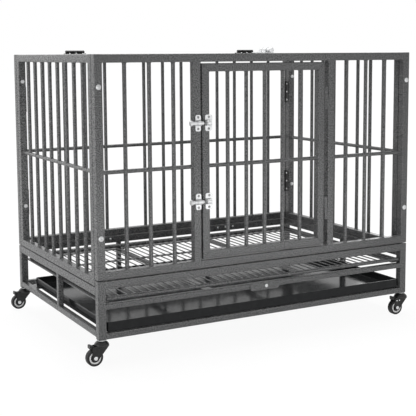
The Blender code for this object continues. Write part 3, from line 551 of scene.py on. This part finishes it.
# ---- Turn latch ----
# A painted steel strip with round ends, held by one zinc screw in the base's middle rail. Upright it
# keeps the grate and the tray in; here it lies along the rail and lets them out.
TURN_Z = FOOT + 0.0762
TURN_ENDS = (-0.0385, 0.0293)
TURN_HALF = 0.010
TURN_THICK = 0.002


def circle_points(cu, cv, radius, start, end, steps):
    angles = [math.radians(start + (end - start) * k / steps) for k in range(steps + 1)]
    return [(cu + radius * math.cos(a), cv + radius * math.sin(a)) for a in angles]


def pressed(axis, outline, ends, edge, finish):
    """A stamped plate: an outline with depth, and its sharp edges rounded off."""
    shape = bmesh.new()
    corners = [shape.verts.new(at(axis, ends[0], u, v)) for u, v in outline]
    grown = bmesh.ops.extrude_face_region(shape, geom=[shape.faces.new(corners)])
    moved = [item for item in grown["geom"] if isinstance(item, bmesh.types.BMVert)]
    bmesh.ops.translate(shape, verts=moved, vec=at(axis, ends[1] - ends[0], 0.0, 0.0))
    bmesh.ops.recalc_face_normals(shape, faces=shape.faces)
    rims = [rim for rim in shape.edges if rim.calc_face_angle(0.0) > math.radians(50)]
    bmesh.ops.bevel(shape, geom=rims, offset=edge, segments=2, profile=0.5, affect="EDGES", clamp_overlap=True)
    return part(shape, finish)


skin_y = FRONT - SEAM
strip = circle_points(TURN_ENDS[1], TURN_Z, TURN_HALF, -90, 90, 14)
strip += circle_points(TURN_ENDS[0], TURN_Z, TURN_HALF, 90, 270, 14)
settle("turn_latch_strip", [pressed("Y", strip, (skin_y - TURN_THICK, skin_y), 0.0004, PAINT)], "turn_latch",
       ["turn_latch"])
head = fasteners((0, skin_y - TURN_THICK, TURN_Z), (0, -1, 0), 0.0045, 0.0022, ZINC, recess=0.0045, fullness=0.7)
settle("turn_latch_pivot_screw", [head], "frame", ["turn_latch_screw"])

# ---- Castors ----
# Four swivel castors: a zinc stem pushed up into the corner post, a pressed black fork with a domed head
# that turns on it, a black wheel with a white ring on a riveted axle, and a brake pedal on the tail side.
CASTOR_X, CASTOR_Y = HALF_X - 0.010, BACK - 0.010
TRAIL = 0.019
WHEEL_R = 0.0205
CHEEK = (0.0086, 0.0106)
CORNERS = {"front_left": (-1, -1), "front_right": (1, -1), "back_left": (-1, 1), "back_right": (1, 1)}
FORK_RIVETS = ((-0.0115, 0.0408), (-0.0205, 0.0402))
PEDAL_HALF = 0.0078


def satin_black(name, level, roughness, scale):
    """Black steel or rubber with a worn, slightly dusty skin."""
    made, tree, shader, place = new_finish(name)
    dust = noise(tree, place, scale, 6.0, 0.7)
    tone = blend_colours(tree, spread(tree, dust, 0.0, 1.0, 0.4, 0.75), grey(level), grey(level * 2.6))
    dress(tree, shader, tone, spread(tree, dust, roughness - 0.08, roughness + 0.10),
          bump(tree, 0.3, 0.0002, dust))
    shader.inputs["Specular IOR Level"].default_value = 0.32
    return made


def white_plastic():
    """Moulded white plastic of the wheel's ring, a little scuffed."""
    made, tree, shader, place = new_finish("white_ring_plastic")
    scuff = noise(tree, place, 320.0, 5.0)
    tone = blend_colours(tree, spread(tree, scuff, 0.0, 1.0, 0.55, 0.85), grey(0.90), grey(0.70))
    dress(tree, shader, tone, spread(tree, scuff, 0.30, 0.50))
    return made


def turned(axis, centre, profile, finish, steps=32):
    """Spin a profile of (radius, height along the axis) points about an axis through centre."""
    rings = []
    for radius, height in profile:
        ring = circle_points(0.0, 0.0, radius, 0, 360, steps)[:-1]
        rings.append([tuple(Vector(at(axis, height, u, v)) + Vector(centre)) for u, v in ring])
    return skin(rings, finish)


def both_ends(half):
    """A profile that is the same on both sides of its middle, from its upper half."""
    return [(radius, -height) for radius, height in reversed(half)] + half


BLACK_STEEL = satin_black("black_pressed_steel", 0.008, 0.34, 180.0)
TREAD = satin_black("black_castor_tread", 0.008, 0.52, 300.0)
WHITE_RING = white_plastic()

for corner, (sx, sy) in CORNERS.items():
    x, y = sx * CASTOR_X, sy * CASTOR_Y
    hub = (x - TRAIL, y, WHEEL_R)
    name = f"castor_{corner}"
    profile = [(0, 0.0475), (0.0040, 0.0475), (0.0040, 0.0588), (0.0102, 0.0588), (0.0110, 0.0594)]
    profile += [(0.0110, FOOT - 0.0007), (0.0105, FOOT - SEAM), (0.0050, FOOT - SEAM)]
    profile += [(0.0050, FOOT + 0.016), (0.0040, FOOT + 0.018), (0, FOOT + 0.018)]
    settle(f"{name}_stem_and_collar", [turned("Z", (x, y, 0), profile, ZINC)], "frame", [f"{name}_stem"])

    profile = [(0, 0.0450), (0.0170, 0.0450), (0.0178, 0.0455), (0.0180, 0.0463), (0.0180, 0.0492)]
    profile += [(0.0176, 0.0505), (0.0166, 0.0522), (0.0152, 0.0540), (0.0132, 0.0558), (0.0112, 0.0572)]
    profile += [(0.0092, 0.0581), (0.0072, 0.0583), (0.0046, 0.0583), (0.0044, 0.0579), (0.0044, 0.0470)]
    parts = [turned("Z", (x, y, 0), profile + [(0, 0.0470)], BLACK_STEEL, 40)]
    rivet = ZINC if corner == "front_right" else BLACK_STEEL
    outline = [(x + 0.0126, 0.0476), (x + 0.0126, 0.0445), (x + 0.0116, 0.0425)]
    outline += circle_points(hub[0], hub[2], 0.0085, -34, -196, 14)
    outline += [(x - 0.0266, 0.0430), (x - 0.0264, 0.0455), (x - 0.0245, 0.0482), (x - 0.0180, 0.0482)]
    for way in (-1, 1):
        inner, outer = y + way * CHEEK[0], y + way * CHEEK[1]
        parts.append(pressed("Y", outline, sorted((inner, outer)), 0.0005, BLACK_STEEL))
        for u, v in FORK_RIVETS:
            parts.append(fasteners((x + u, outer - way * 0.0002, v), (0, way, 0), 0.0021, 0.0010, rivet))
    settle(f"{name}_pressed_fork", parts, f"{name}_fork", [f"{name}_fork"])

    profile = both_ends([(0.0024, 0.0109), (0.0024, 0.0112), (0.0046, 0.0113), (0.0048, 0.0117),
                         (0.0044, 0.0122), (0.0030, 0.0125), (0, 0.0125)])
    axle = turned("Y", hub, profile, ZINC, 24)
    settle(f"{name}_riveted_axle", [axle], f"{name}_fork", [f"{name}_axle"])

    tread = [(0.0205, 0.0040), (0.0204, 0.0058), (0.0199, 0.0067), (0.0188, 0.0072), (0.0151, 0.0071)]
    ring = [(0.0148, 0.0060), (0.0145, 0.0070), (0.0111, 0.0070), (0.0107, 0.0062)]
    disc = [(0.0108, 0.0060), (0.0098, 0.0046), (0.0064, 0.0046), (0.0060, 0.0060), (0.0034, 0.0060)]
    wheel = [turned("Y", hub, both_ends(half), finish, 48)
             for half, finish in ((tread + [(0.0147, 0.0064)], TREAD), (ring, WHITE_RING), (disc, TREAD))]
    settle(f"{name}_ringed_wheel", wheel, f"{name}_wheel", [f"{name}_wheel"])

    pedal = [(-0.0202, 0.0442), (-0.0196, 0.0462), (-0.0212, 0.0482), (-0.0268, 0.0512), (-0.0312, 0.0520)]
    pedal += [(-0.0324, 0.0508), (-0.0324, 0.0438), (-0.0314, 0.0426), (-0.0266, 0.0424)]
    pedal += [(-0.0252, 0.0440), (-0.0225, 0.0438)]
    block = pressed("Y", [(x + u, v) for u, v in pedal], (y - PEDAL_HALF, y + PEDAL_HALF), 0.0005, BLACK_STEEL)
    settle(f"{name}_brake_pedal", [block], f"{name}_brake", [f"{name}_brake"])

# ---- Back and side panels ----
# Each panel is a frame of square tube with round bars welded between its rails and one round rail
# across the middle. The side panels are bolted and hinged to the back panel.
TOP = 0.728
RAIL = (TOP - TUBE, TOP)
LOW_RAIL = (TOP - 0.542, TOP - 0.522)
MID_RAIL = TOP - 0.273
PANEL_LOW = BASE_RAIL[1] + GAP
BAR = 0.005
SIDE_BARS, SIDE_PITCH = 8, 0.0583
BACK_BARS, BACK_PITCH = 13, 0.0632
CORNER_SEAM = 0.0020


def bar_field(axis, middle, low, high, count, pitch, centre=0.0):
    """Upright round bars between two rails of a panel that runs along X or Y."""
    first = centre - (count - 1) / 2 * pitch
    foot = (first, middle, low) if axis == "X" else (middle, first, low)
    step = (pitch, 0, 0) if axis == "X" else (0, pitch, 0)
    return bars(foot, (0, 0, high - low), step, count, BAR)


def cross_rail(axis, middle, ends, level=MID_RAIL):
    """One round rail across a panel, at half height if no level is given."""
    foot = (ends[0], middle, level) if axis == "X" else (middle, ends[0], level)
    run = (ends[1] - ends[0], 0, 0) if axis == "X" else (0, ends[1] - ends[0], 0)
    return bars(foot, run, (0, 0, 0), 1, BAR)


back_mid = BACK - TUBE / 2
parts = []
for side in (-1, 1):
    across = sorted((side * HALF_X, side * POST_INNER))
    parts.append(tube("Z", across, (BACK - TUBE, BACK), (PANEL_LOW, TOP)))
for tall in (RAIL, LOW_RAIL):
    parts.append(tube("X", (BACK - TUBE, BACK), tall, (-reach, reach), FLUSH))
parts.append(bar_field("X", back_mid, LOW_RAIL[1], RAIL[0], BACK_BARS, BACK_PITCH))
parts.append(cross_rail("X", back_mid, (-POST_INNER, POST_INNER)))
spots = [(x, z) for x in (-POST_INNER, POST_INNER) for z in (RAIL[0], LOW_RAIL[1])]
parts.append(welds("Y", spots, (BACK - LONG_WELD, BACK - WELD_FROM)))
settle("back_panel_frame", parts, "frame", ["back_panel"])

start, end = FRONT + TUBE + CORNER_SEAM, BACK - TUBE - CORNER_SEAM
for name, side in (("left", -1), ("right", 1)):
    across = sorted((side * HALF_X, side * POST_INNER))
    mid = side * (HALF_X - TUBE / 2)
    inner = (start + TUBE, end - TUBE)
    parts = [tube("Z", across, deep, (PANEL_LOW, TOP)) for deep in ((start, inner[0]), (inner[1], end))]
    for tall in (RAIL, LOW_RAIL):
        parts.append(tube("Y", across, tall, (inner[0] - TUBE_IN, inner[1] + TUBE_IN), FLUSH))
    parts.append(bar_field("Y", mid, LOW_RAIL[1], RAIL[0], SIDE_BARS, SIDE_PITCH))
    parts.append(cross_rail("Y", mid, inner))
    parts.append(welds("X", [(y, z) for y in inner for z in (RAIL[0], LOW_RAIL[1])],
                       (side * (HALF_X - WELD_FROM), side * (HALF_X - LONG_WELD))))
    settle(f"{name}_panel_frame", parts, "frame", [f"{name}_panel"])

# ---- Strap hinges and bolts of the corners ----
# Black strap hinges with three rivets join each side panel to the back panel on the inside. Dome head
# bolts with nuts clamp the stiles at all four corners.
FOLD_LEVELS = {"upper": TOP - 0.125, "lower": TOP - 0.417}
BOLT_LEVELS = {"upper": TOP - 0.075, "lower": TOP - 0.426}
FOLD_LONG, FOLD_LEAF, FOLD_THICK = 0.070, 0.018, 0.0015
RIVET_OUT, RIVET_PITCH = 0.011, 0.026
NUT_IN, NUT_THICK = 0.0406, 0.005


def nut(x, y, z, facing):
    """A hexagon nut with the bolt's end in it."""
    hexagon = circle_points(x, z, 0.0057, 0, 360, 6)[:-1]
    top = y + facing * NUT_THICK
    profile = [(0, 0), (0.0030, 0), (0.0030, facing * 0.0014), (0.0024, facing * 0.0020), (0, facing * 0.0020)]
    return [pressed("Y", hexagon, sorted((y, top)), 0.0004, ZINC), turned("Y", (x, top, z), profile, ZINC, 16)]


for name, side in (("left", -1), ("right", 1)):
    wall = HALF_X - TUBE - SEAM
    for level, z in FOLD_LEVELS.items():
        knuckle = circle_points(0.0036, 0.0, 0.0032, 95, -95, 12)
        outline = [(0, -FOLD_LEAF), (0, FOLD_LEAF), (FOLD_THICK, FOLD_LEAF), (FOLD_THICK, 0.0040)]
        outline += knuckle + [(FOLD_THICK, -0.0040), (FOLD_THICK, -FOLD_LEAF)]
        outline = [(side * (wall - u), BACK - TUBE + v) for u, v in outline]
        parts = [pressed("Z", outline, (z - FOLD_LONG / 2, z + FOLD_LONG / 2), 0.0004, BLACK_STEEL)]
        for v in (-RIVET_OUT, RIVET_OUT):
            spot = (side * (wall - FOLD_THICK), BACK - TUBE + v, z - RIVET_PITCH)
            parts.append(fasteners(spot, (-side, 0, 0), 0.0029, 0.0015, ZINC, (0, 0, RIVET_PITCH), 3))
        settle(f"strap_hinge_{level}_{name}", parts, "frame", [f"fold_hinge_{level}_{name}"])
    for level, z in BOLT_LEVELS.items():
        for face, y, way in (("front", FRONT, -1), ("back", BACK, 1)):
            spot = (side * CASTOR_X, y + way * SEAM, z)
            head = fasteners(spot, (0, way, 0), 0.0066, 0.0042, ZINC, recess=0.0062, fullness=0.9)
            nodes = [f"corner_bolt_{level}_{name}"] if face == "front" else []
            settle(f"{face}_bolt_{level}_{name}", [head] + nut(spot[0], y - way * NUT_IN, z, -way), "frame",
                   nodes)

# ---- Front panel ----
# Full height stiles with rails and two door posts between them. The door's opening is in the middle,
# and three bars and a middle rail close the space on each side of it.
FRONT_LOW = (TOP - 0.5256, TOP - 0.5056)
DOORWAY_X, POST_X = 0.0024, 0.198
FRONT_BARS, FRONT_PITCH, FRONT_BARS_X = 3, 0.0631, 0.3185
front_deep = (FRONT, FRONT + TUBE)
front_mid = FRONT + TUBE / 2
front_weld = (FRONT + WELD_FROM, FRONT + LONG_WELD)
parts = []
for side in (-1, 1):
    across = sorted((side * HALF_X, side * POST_INNER))
    parts.append(tube("Z", across, front_deep, (BASE_FRONT_TOP[1] + GAP, TOP)))
    post = DOORWAY_X + side * POST_X
    ends = (FRONT_LOW[1] - TUBE_IN, RAIL[0] + TUBE_IN)
    parts.append(tube("Z", (post - TUBE / 2, post + TUBE / 2), front_deep, ends, 2 * FLUSH))
    parts.append(bar_field("X", front_mid, FRONT_LOW[1], RAIL[0], FRONT_BARS, FRONT_PITCH, side * FRONT_BARS_X))
    bay = (side * POST_INNER, post + side * TUBE / 2)
    parts.append(cross_rail("X", front_mid, sorted(bay)))
    spots = [(x, z) for x in (*bay, post - side * TUBE / 2) for z in (RAIL[0], FRONT_LOW[1])]
    parts.append(welds("Y", spots, front_weld))
for tall in (RAIL, FRONT_LOW):
    parts.append(tube("X", front_deep, tall, (-reach, reach), FLUSH))
settle("front_panel_frame", parts, "frame", ["front_panel"])

# ---- Door ----
# A mitred frame of the same tube with five bars and a middle rail. It hangs on two barrel hinges that
# are welded between its right stile and the post.
DOOR_X = (-0.1820, 0.1790)
DOOR_Z = (TOP - 0.5025, TOP - 0.0235)
DOOR_BARS, DOOR_PITCH, DOOR_BAR_MID = 5, 0.0536, 0.0009
HINGE_AXIS = (DOORWAY_X + 0.1822, FRONT + 0.001)
HINGE_LEVELS = {"upper": (TOP - 0.146, TOP - 0.0875), "lower": (TOP - 0.436, TOP - 0.375)}
HINGE_R = 0.0045


def mitred_frame(axes, across, tall, deep):
    """Four tubes whose ends meet on 45 degree cuts; axes are the ways that the stiles and rails run."""
    made = []
    for level, way in ((across[0], 1), (across[1], -1)):
        edges = sorted((level, level + way * TUBE))
        made.append(tube(axes[0], edges, deep, tall, slant=lambda u, v, level=level: abs(u - level)))
    for level, way in ((tall[0], 1), (tall[1], -1)):
        edges = sorted((level, level + way * TUBE))
        flat = (deep, edges) if axes[0] == "Z" else (edges, deep)
        pick = 1 if axes[0] == "Z" else 0
        made.append(tube(axes[1], *flat, across,
                         slant=lambda u, v, level=level, pick=pick: abs((u, v)[pick] - level)))
    return made


def box_points(u, v):
    """The four corners of a rectangle between two bounds each way."""
    return [(u[0], v[0]), (u[1], v[0]), (u[1], v[1]), (u[0], v[1])]


parts = mitred_frame("ZX", DOOR_X, DOOR_Z, front_deep)
inner_x = (DOOR_X[0] + TUBE, DOOR_X[1] - TUBE)
inner_z = (DOOR_Z[0] + TUBE, DOOR_Z[1] - TUBE)
parts.append(bar_field("X", front_mid, *inner_z, DOOR_BARS, DOOR_PITCH, DOOR_BAR_MID))
parts.append(cross_rail("X", front_mid, inner_x))
parts.append(welds("Y", [(x, z) for x in inner_x for z in inner_z], front_weld))
settle("door_frame", parts, "door", ["door"])

for level, (low, high) in HINGE_LEVELS.items():
    x, y = HINGE_AXIS
    middle = (low + high) / 2
    lower = turned("Z", (x, y, 0), [(0, low), (HINGE_R - 0.0008, low), (HINGE_R, low + 0.0008),
                   (HINGE_R, middle - 0.0006), (HINGE_R - 0.0005, middle - SEAM / 2), (0.0024, middle - SEAM / 2),
                   (0.0024, high - 0.0015), (0.0018, high - 0.001), (0, high - 0.001)], PAINT, 24)
    post_edge = DOORWAY_X + POST_X - TUBE / 2
    tab = pressed("Z", box_points((x + 0.0030, post_edge - SEAM), (y - 0.0015, y + 0.003)),
                  (low + 0.0005, middle - SEAM), 0.0003, PAINT)
    bead = welds("Z", [(post_edge - 0.0004, y - 0.0008)], (low + 0.003, middle - 0.003))
    settle(f"door_hinge_{level}_pin_barrel", [lower, tab, bead], "frame", [f"door_hinge_{level}_pin_half"])
    upper = turned("Z", (x, y, 0), [(0.0026, middle + SEAM / 2), (HINGE_R - 0.0005, middle + SEAM / 2),
                   (HINGE_R, middle + 0.0006), (HINGE_R, high - 0.0008), (HINGE_R - 0.0008, high),
                   (0.0026, high), (0.0026, middle + SEAM / 2)], PAINT, 24)
    tab = pressed("Z", box_points((DOOR_X[1] + SEAM, x - 0.0030), (y - 0.0015, y + 0.003)),
                  (middle + SEAM, high - 0.0005), 0.0003, PAINT)
    bead = welds("Z", [(DOOR_X[1] + 0.0004, y - 0.0008)], (middle + 0.003, high - 0.003))
    settle(f"door_hinge_{level}_leaf_barrel", [upper, tab, bead], "door", [f"door_hinge_{level}_door_half"])

# ---- Slide bolts ----
# Zinc plated slide bolts: a plate with a raised sleeve, screwed to the post, a round bolt with a turned
# knob, and a keeper plate on the door. A third one of them holds the lid's front rail.
PLATE = 0.0015
PLATE_LONG, PLATE_WIDE, KEEPER_WIDE = 0.040, 0.015, 0.020
BOLT_LEVEL, BOLT_R, BOLT_LONG, KNOB_R = 0.0075, 0.0046, 0.0375, 0.0070
SLEEVE, SLEEVE_R, SLEEVE_BORE = 0.012, 0.0062, 0.0050
SCREW_OUT = 0.0142
DOOR_BOLTS = {"upper": TOP - 0.167, "lower": TOP - 0.359}
DOOR_PLATE_AT, DOOR_KEEPER_AT = -0.1945, -0.1655


def bolt_plate(middle, wide, loop_at):
    """A plate with round corners, an arched sleeve across it and a screw at each end.

    The bolt slides along X here, the plate runs along Y, and Z points away from the frame."""
    base = (SEAM, SEAM + PLATE)
    outline = rounded((middle - wide / 2, middle + wide / 2), (-PLATE_LONG / 2, PLATE_LONG / 2), 0.0052, 6)
    made = [pressed("Z", outline, base, 0.0004, ZINC)]
    foot = base[1] - 0.0003
    arch = [(0.0076, foot), (SLEEVE_R, BOLT_LEVEL - 0.001)]
    arch += circle_points(0, BOLT_LEVEL, SLEEVE_R, 0, 180, 14)
    arch += [(-SLEEVE_R, BOLT_LEVEL - 0.001), (-0.0076, foot), (-SLEEVE_BORE, foot)]
    arch += circle_points(0, BOLT_LEVEL, SLEEVE_BORE, 180, 0, 14) + [(SLEEVE_BORE, foot)]
    made.append(pressed("X", arch, (loop_at - SLEEVE / 2, loop_at + SLEEVE / 2), 0.0003, ZINC))
    # The screws take the darker zinc, which paints in the shade around their heads.
    for out in (-SCREW_OUT, SCREW_OUT):
        made.append(fasteners((middle, out, base[1] - 0.0002), (0, 0, 1), 0.0033, 0.0014, SHADE_DARKENED_ZINC, recess=0.0036,
                              fullness=0.8))
    return made


def slide_bolt(name, nodes, bodies, turn, plate_at, keeper_at, tip):
    """One slide bolt, turned from its own axes to where it is screwed on."""
    tail = tip - BOLT_LONG
    profile = [(0, tail), (KNOB_R - 0.0024, tail), (KNOB_R - 0.0008, tail + 0.0006), (KNOB_R, tail + 0.0020),
               (KNOB_R, tail + 0.0044), (KNOB_R - 0.0010, tail + 0.0058), (BOLT_R, tail + 0.0068),
               (BOLT_R, tip - 0.0016), (BOLT_R - 0.0012, tip), (0, tip)]
    rod = turned("X", (0, 0, BOLT_LEVEL), profile, ZINC, 24)
    groups = (bolt_plate(plate_at, PLATE_WIDE, plate_at), [rod],
              bolt_plate(keeper_at, KEEPER_WIDE, keeper_at - 0.0035))
    for group, node, body, label in zip(groups, nodes, bodies, ("sleeve_plate", "knob_rod", "keeper_plate")):
        for mesh in group:
            mesh.transform(turn)
        settle(f"{name}_{label}", group, body, [node])


for level, z in DOOR_BOLTS.items():
    name = f"door_{level}"
    turn = Matrix(((1, 0, 0, 0), (0, 0, -1, FRONT), (0, 1, 0, z), (0, 0, 0, 1)))
    slide_bolt(f"{name}_slide", [f"{name}_bolt_body", f"{name}_bolt", f"{name}_keeper"],
               ["frame", f"{name}_bolt", "door"], turn, DOOR_PLATE_AT, DOOR_KEEPER_AT, DOOR_X[0] - 0.0005)

# ---- Lid ----
# The lid lies flush between the top rails: a mitred frame with thirteen bars from front to back and one
# rail across them. It turns up on two black butt hinges on the back rail.
LID_X = HALF_X - TUBE - 0.002
LID_Y = (FRONT + TUBE + 0.002, BACK - TUBE - 0.003)
LID_BARS, LID_PITCH = 13, 0.0620
LID_AXIS = (FRONT + 0.5815, TOP + 0.0065)
LID_HINGES = {"left": -0.2855, "right": 0.2855}
LID_HINGE_LONG, LEAF, LEAF_WIDE, KNUCKLE_R = 0.057, 0.002, 0.0185, 0.0045
LEAF_SCREW_Y, LEAF_SCREW_PITCH = 0.0125, 0.020
lid_mid = TOP - TUBE / 2

parts = mitred_frame("YX", (-LID_X, LID_X), LID_Y, RAIL)
inner_y = (LID_Y[0] + TUBE, LID_Y[1] - TUBE)
parts.append(bars((-(LID_BARS - 1) / 2 * LID_PITCH, inner_y[0], lid_mid), (0, inner_y[1] - inner_y[0], 0),
                  (LID_PITCH, 0, 0), LID_BARS, BAR))
parts.append(cross_rail("X", sum(LID_Y) / 2, (-LID_X + TUBE, LID_X - TUBE), lid_mid))
parts.append(welds("Z", [(x, y) for x in (-LID_X + TUBE, LID_X - TUBE) for y in inner_y],
                   (RAIL[0] + WELD_FROM, TOP - WELD_FROM)))
settle("lid_frame", parts, "lid", ["lid"])

for name, centre in LID_HINGES.items():
    y, z = LID_AXIS
    low, high = centre - LID_HINGE_LONG / 2, centre + LID_HINGE_LONG / 2
    split = centre + 0.0057
    skins = (TOP + SEAM, TOP + SEAM + LEAF)
    pinned = [(0, low), (0.0036, low), (KNUCKLE_R, low + 0.0009), (KNUCKLE_R, split - 0.0006),
              (0.0040, split - SEAM / 2), (0.0024, split - SEAM / 2), (0.0024, high - 0.0010),
              (0.0020, high - 0.0005), (0, high - 0.0005)]
    bored = [(0.0026, split + SEAM / 2), (0.0040, split + SEAM / 2), (KNUCKLE_R, split + 0.0006),
             (KNUCKLE_R, high - 0.0009), (0.0036, high), (0.0026, high), (0.0026, split + SEAM / 2)]
    for label, half, body, way, profile, web_x in (
            ("fixed", "pin", "frame", 1, pinned, (low + 0.0004, split - SEAM)),
            ("moving", "lid", "lid", -1, bored, (split + SEAM, high - 0.0004))):
        leaf_y = sorted((y + way * 0.0052, y + way * LEAF_WIDE))
        leaf = rounded((low + 0.0002, high - 0.0002), leaf_y, 0.0030, 4)
        web = box_points(web_x, sorted((y, y + way * 0.0060)))
        spot = (centre - LEAF_SCREW_PITCH, y + way * LEAF_SCREW_Y, skins[1] - 0.0002)
        parts = [turned("X", (0, y, z), profile, BLACK_STEEL, 24),
                 pressed("Z", leaf, skins, 0.0004, BLACK_STEEL),
                 pressed("Z", web, skins, 0.0003, BLACK_STEEL),
                 fasteners(spot, (0, 0, 1), 0.0030, 0.0014, ZINC, (LEAF_SCREW_PITCH, 0, 0), 3, recess=0.0032,
                           fullness=0.8)]
        settle(f"lid_hinge_{name}_{label}_leaf", parts, body, [f"lid_hinge_{name}_{half}_half"])

turn = Matrix(((0, 1, 0, 0.006), (1, 0, 0, 0), (0, 0, 1, TOP), (0, 0, 0, 1)))
slide_bolt("lid_slide", ["lid_bolt_body", "lid_bolt", "lid_keeper"], ["frame", "lid_bolt", "lid"], turn,
           FRONT + TUBE / 2, FRONT + 0.0325, FRONT + 0.0215)

# ---- Studio ----
# A pale floor, and soft lamps above, in front, on the left and behind, all aimed at the cage's middle.
# What the camera and the gloss see of the room is plain white.
FLOOR_SIZE = 30.0
CAMERA = (-1.2555, -2.3130, 0.7270)
CAMERA_YAW, CAMERA_PITCH, CAMERA_ROLL = 28.600, 6.275, -0.335
CAMERA_LENS, CAMERA_SHIFT = 82.02, -0.12
LAMPS_AIM = (0.0, 0.0, 0.38)
LAMPS = (
    ("front_softbox", (0.60, -1.60, 0.75), (1.2, 0.9), 2.2),
    ("low_front_strip", (0.0, -1.15, 0.15), (1.8, 0.3), 3.2),
    ("left_softbox", (-1.9, -0.5, 0.55), (1.2, 0.9), 10.5),
    ("back_softbox", (-0.7, 2.6, 1.60), (2.6, 1.8), 13.0),
    ("back_right_softbox", (2.3, 1.3, 1.20), (1.4, 1.4), 10.0),
    ("top_softbox", (0.1, 0.45, 2.40), (1.6, 1.6), 58.0),
)


def seen_rays(tree):
    """1 for the camera's rays and for those that gloss and glass send on, else 0."""
    path = add(tree, "ShaderNodeLightPath").outputs
    first = maths(tree, "MAXIMUM", path["Is Camera Ray"], path["Is Glossy Ray"])
    return maths(tree, "MAXIMUM", first, path["Is Transmission Ray"])


world = bpy.data.worlds.new("studio")
world.use_nodes = True
tree = world.node_tree
room = tree.nodes["Background"]
tone = blend_colours(tree, seen_rays(tree), grey(0.09), grey(1.0))
tree.links.new(tone, room.inputs["Color"])
bpy.context.scene.world = world

shape = bmesh.new()
bmesh.ops.create_grid(shape, x_segments=1, y_segments=1, size=FLOOR_SIZE)
paper, tree, shader, place = new_finish("pale_studio_floor")
fibre = noise(tree, place, 40.0, 3.0)
tree.links.new(blend_colours(tree, fibre, grey(0.86), grey(0.90)), shader.inputs["Base Color"])
shader.inputs["Roughness"].default_value = 0.9
glow = add(tree, "ShaderNodeEmission", {"Color": grey(1.0), "Strength": 1.04})
away = add(tree, "ShaderNodeVectorMath", {0: place}, operation="LENGTH")
faint = add(tree, "ShaderNodeMapRange", {0: away.outputs["Value"], 1: 0.9, 2: 2.4, 3: 0.90, 4: 1.0})
weight = maths(tree, "MULTIPLY", seen_rays(tree), faint.outputs[0])
mixed = add(tree, "ShaderNodeMixShader", {0: weight, 1: shader.outputs[0], 2: glow.outputs[0]})
tree.links.new(mixed.outputs[0], tree.nodes["Material Output"].inputs["Surface"])
floor = bpy.data.objects.new("studio_floor", part(shape, paper))
bpy.context.scene.collection.objects.link(floor)
floor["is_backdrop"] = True

for name, place, size, power in LAMPS:
    lamp = bpy.data.lights.new(name, "AREA")
    lamp.shape = "RECTANGLE"
    lamp.size, lamp.size_y = size
    lamp.energy = power
    holder = bpy.data.objects.new(name, lamp)
    holder.location = place
    aim = Vector(LAMPS_AIM) - Vector(place)
    holder.rotation_euler = aim.to_track_quat("-Z", "Y").to_euler()
    holder.visible_camera = False
    bpy.context.scene.collection.objects.link(holder)

lens = bpy.data.cameras.new("camera")
lens.lens = CAMERA_LENS
lens.sensor_width = 36.0
lens.shift_y = CAMERA_SHIFT
lens.clip_start, lens.clip_end = 0.05, 100.0
camera = bpy.data.objects.new("camera", lens)
heading = Matrix.Rotation(-math.radians(CAMERA_YAW), 4, "Z")
tilt = Matrix.Rotation(math.radians(90 - CAMERA_PITCH), 4, "X")
roll = Matrix.Rotation(math.radians(CAMERA_ROLL), 4, "Z")
camera.matrix_world = Matrix.Translation(CAMERA) @ heading @ tilt @ roll
bpy.context.scene.collection.objects.link(camera)
bpy.context.scene.camera = camera
bpy.context.scene.view_settings.view_transform = "Standard"

low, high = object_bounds()
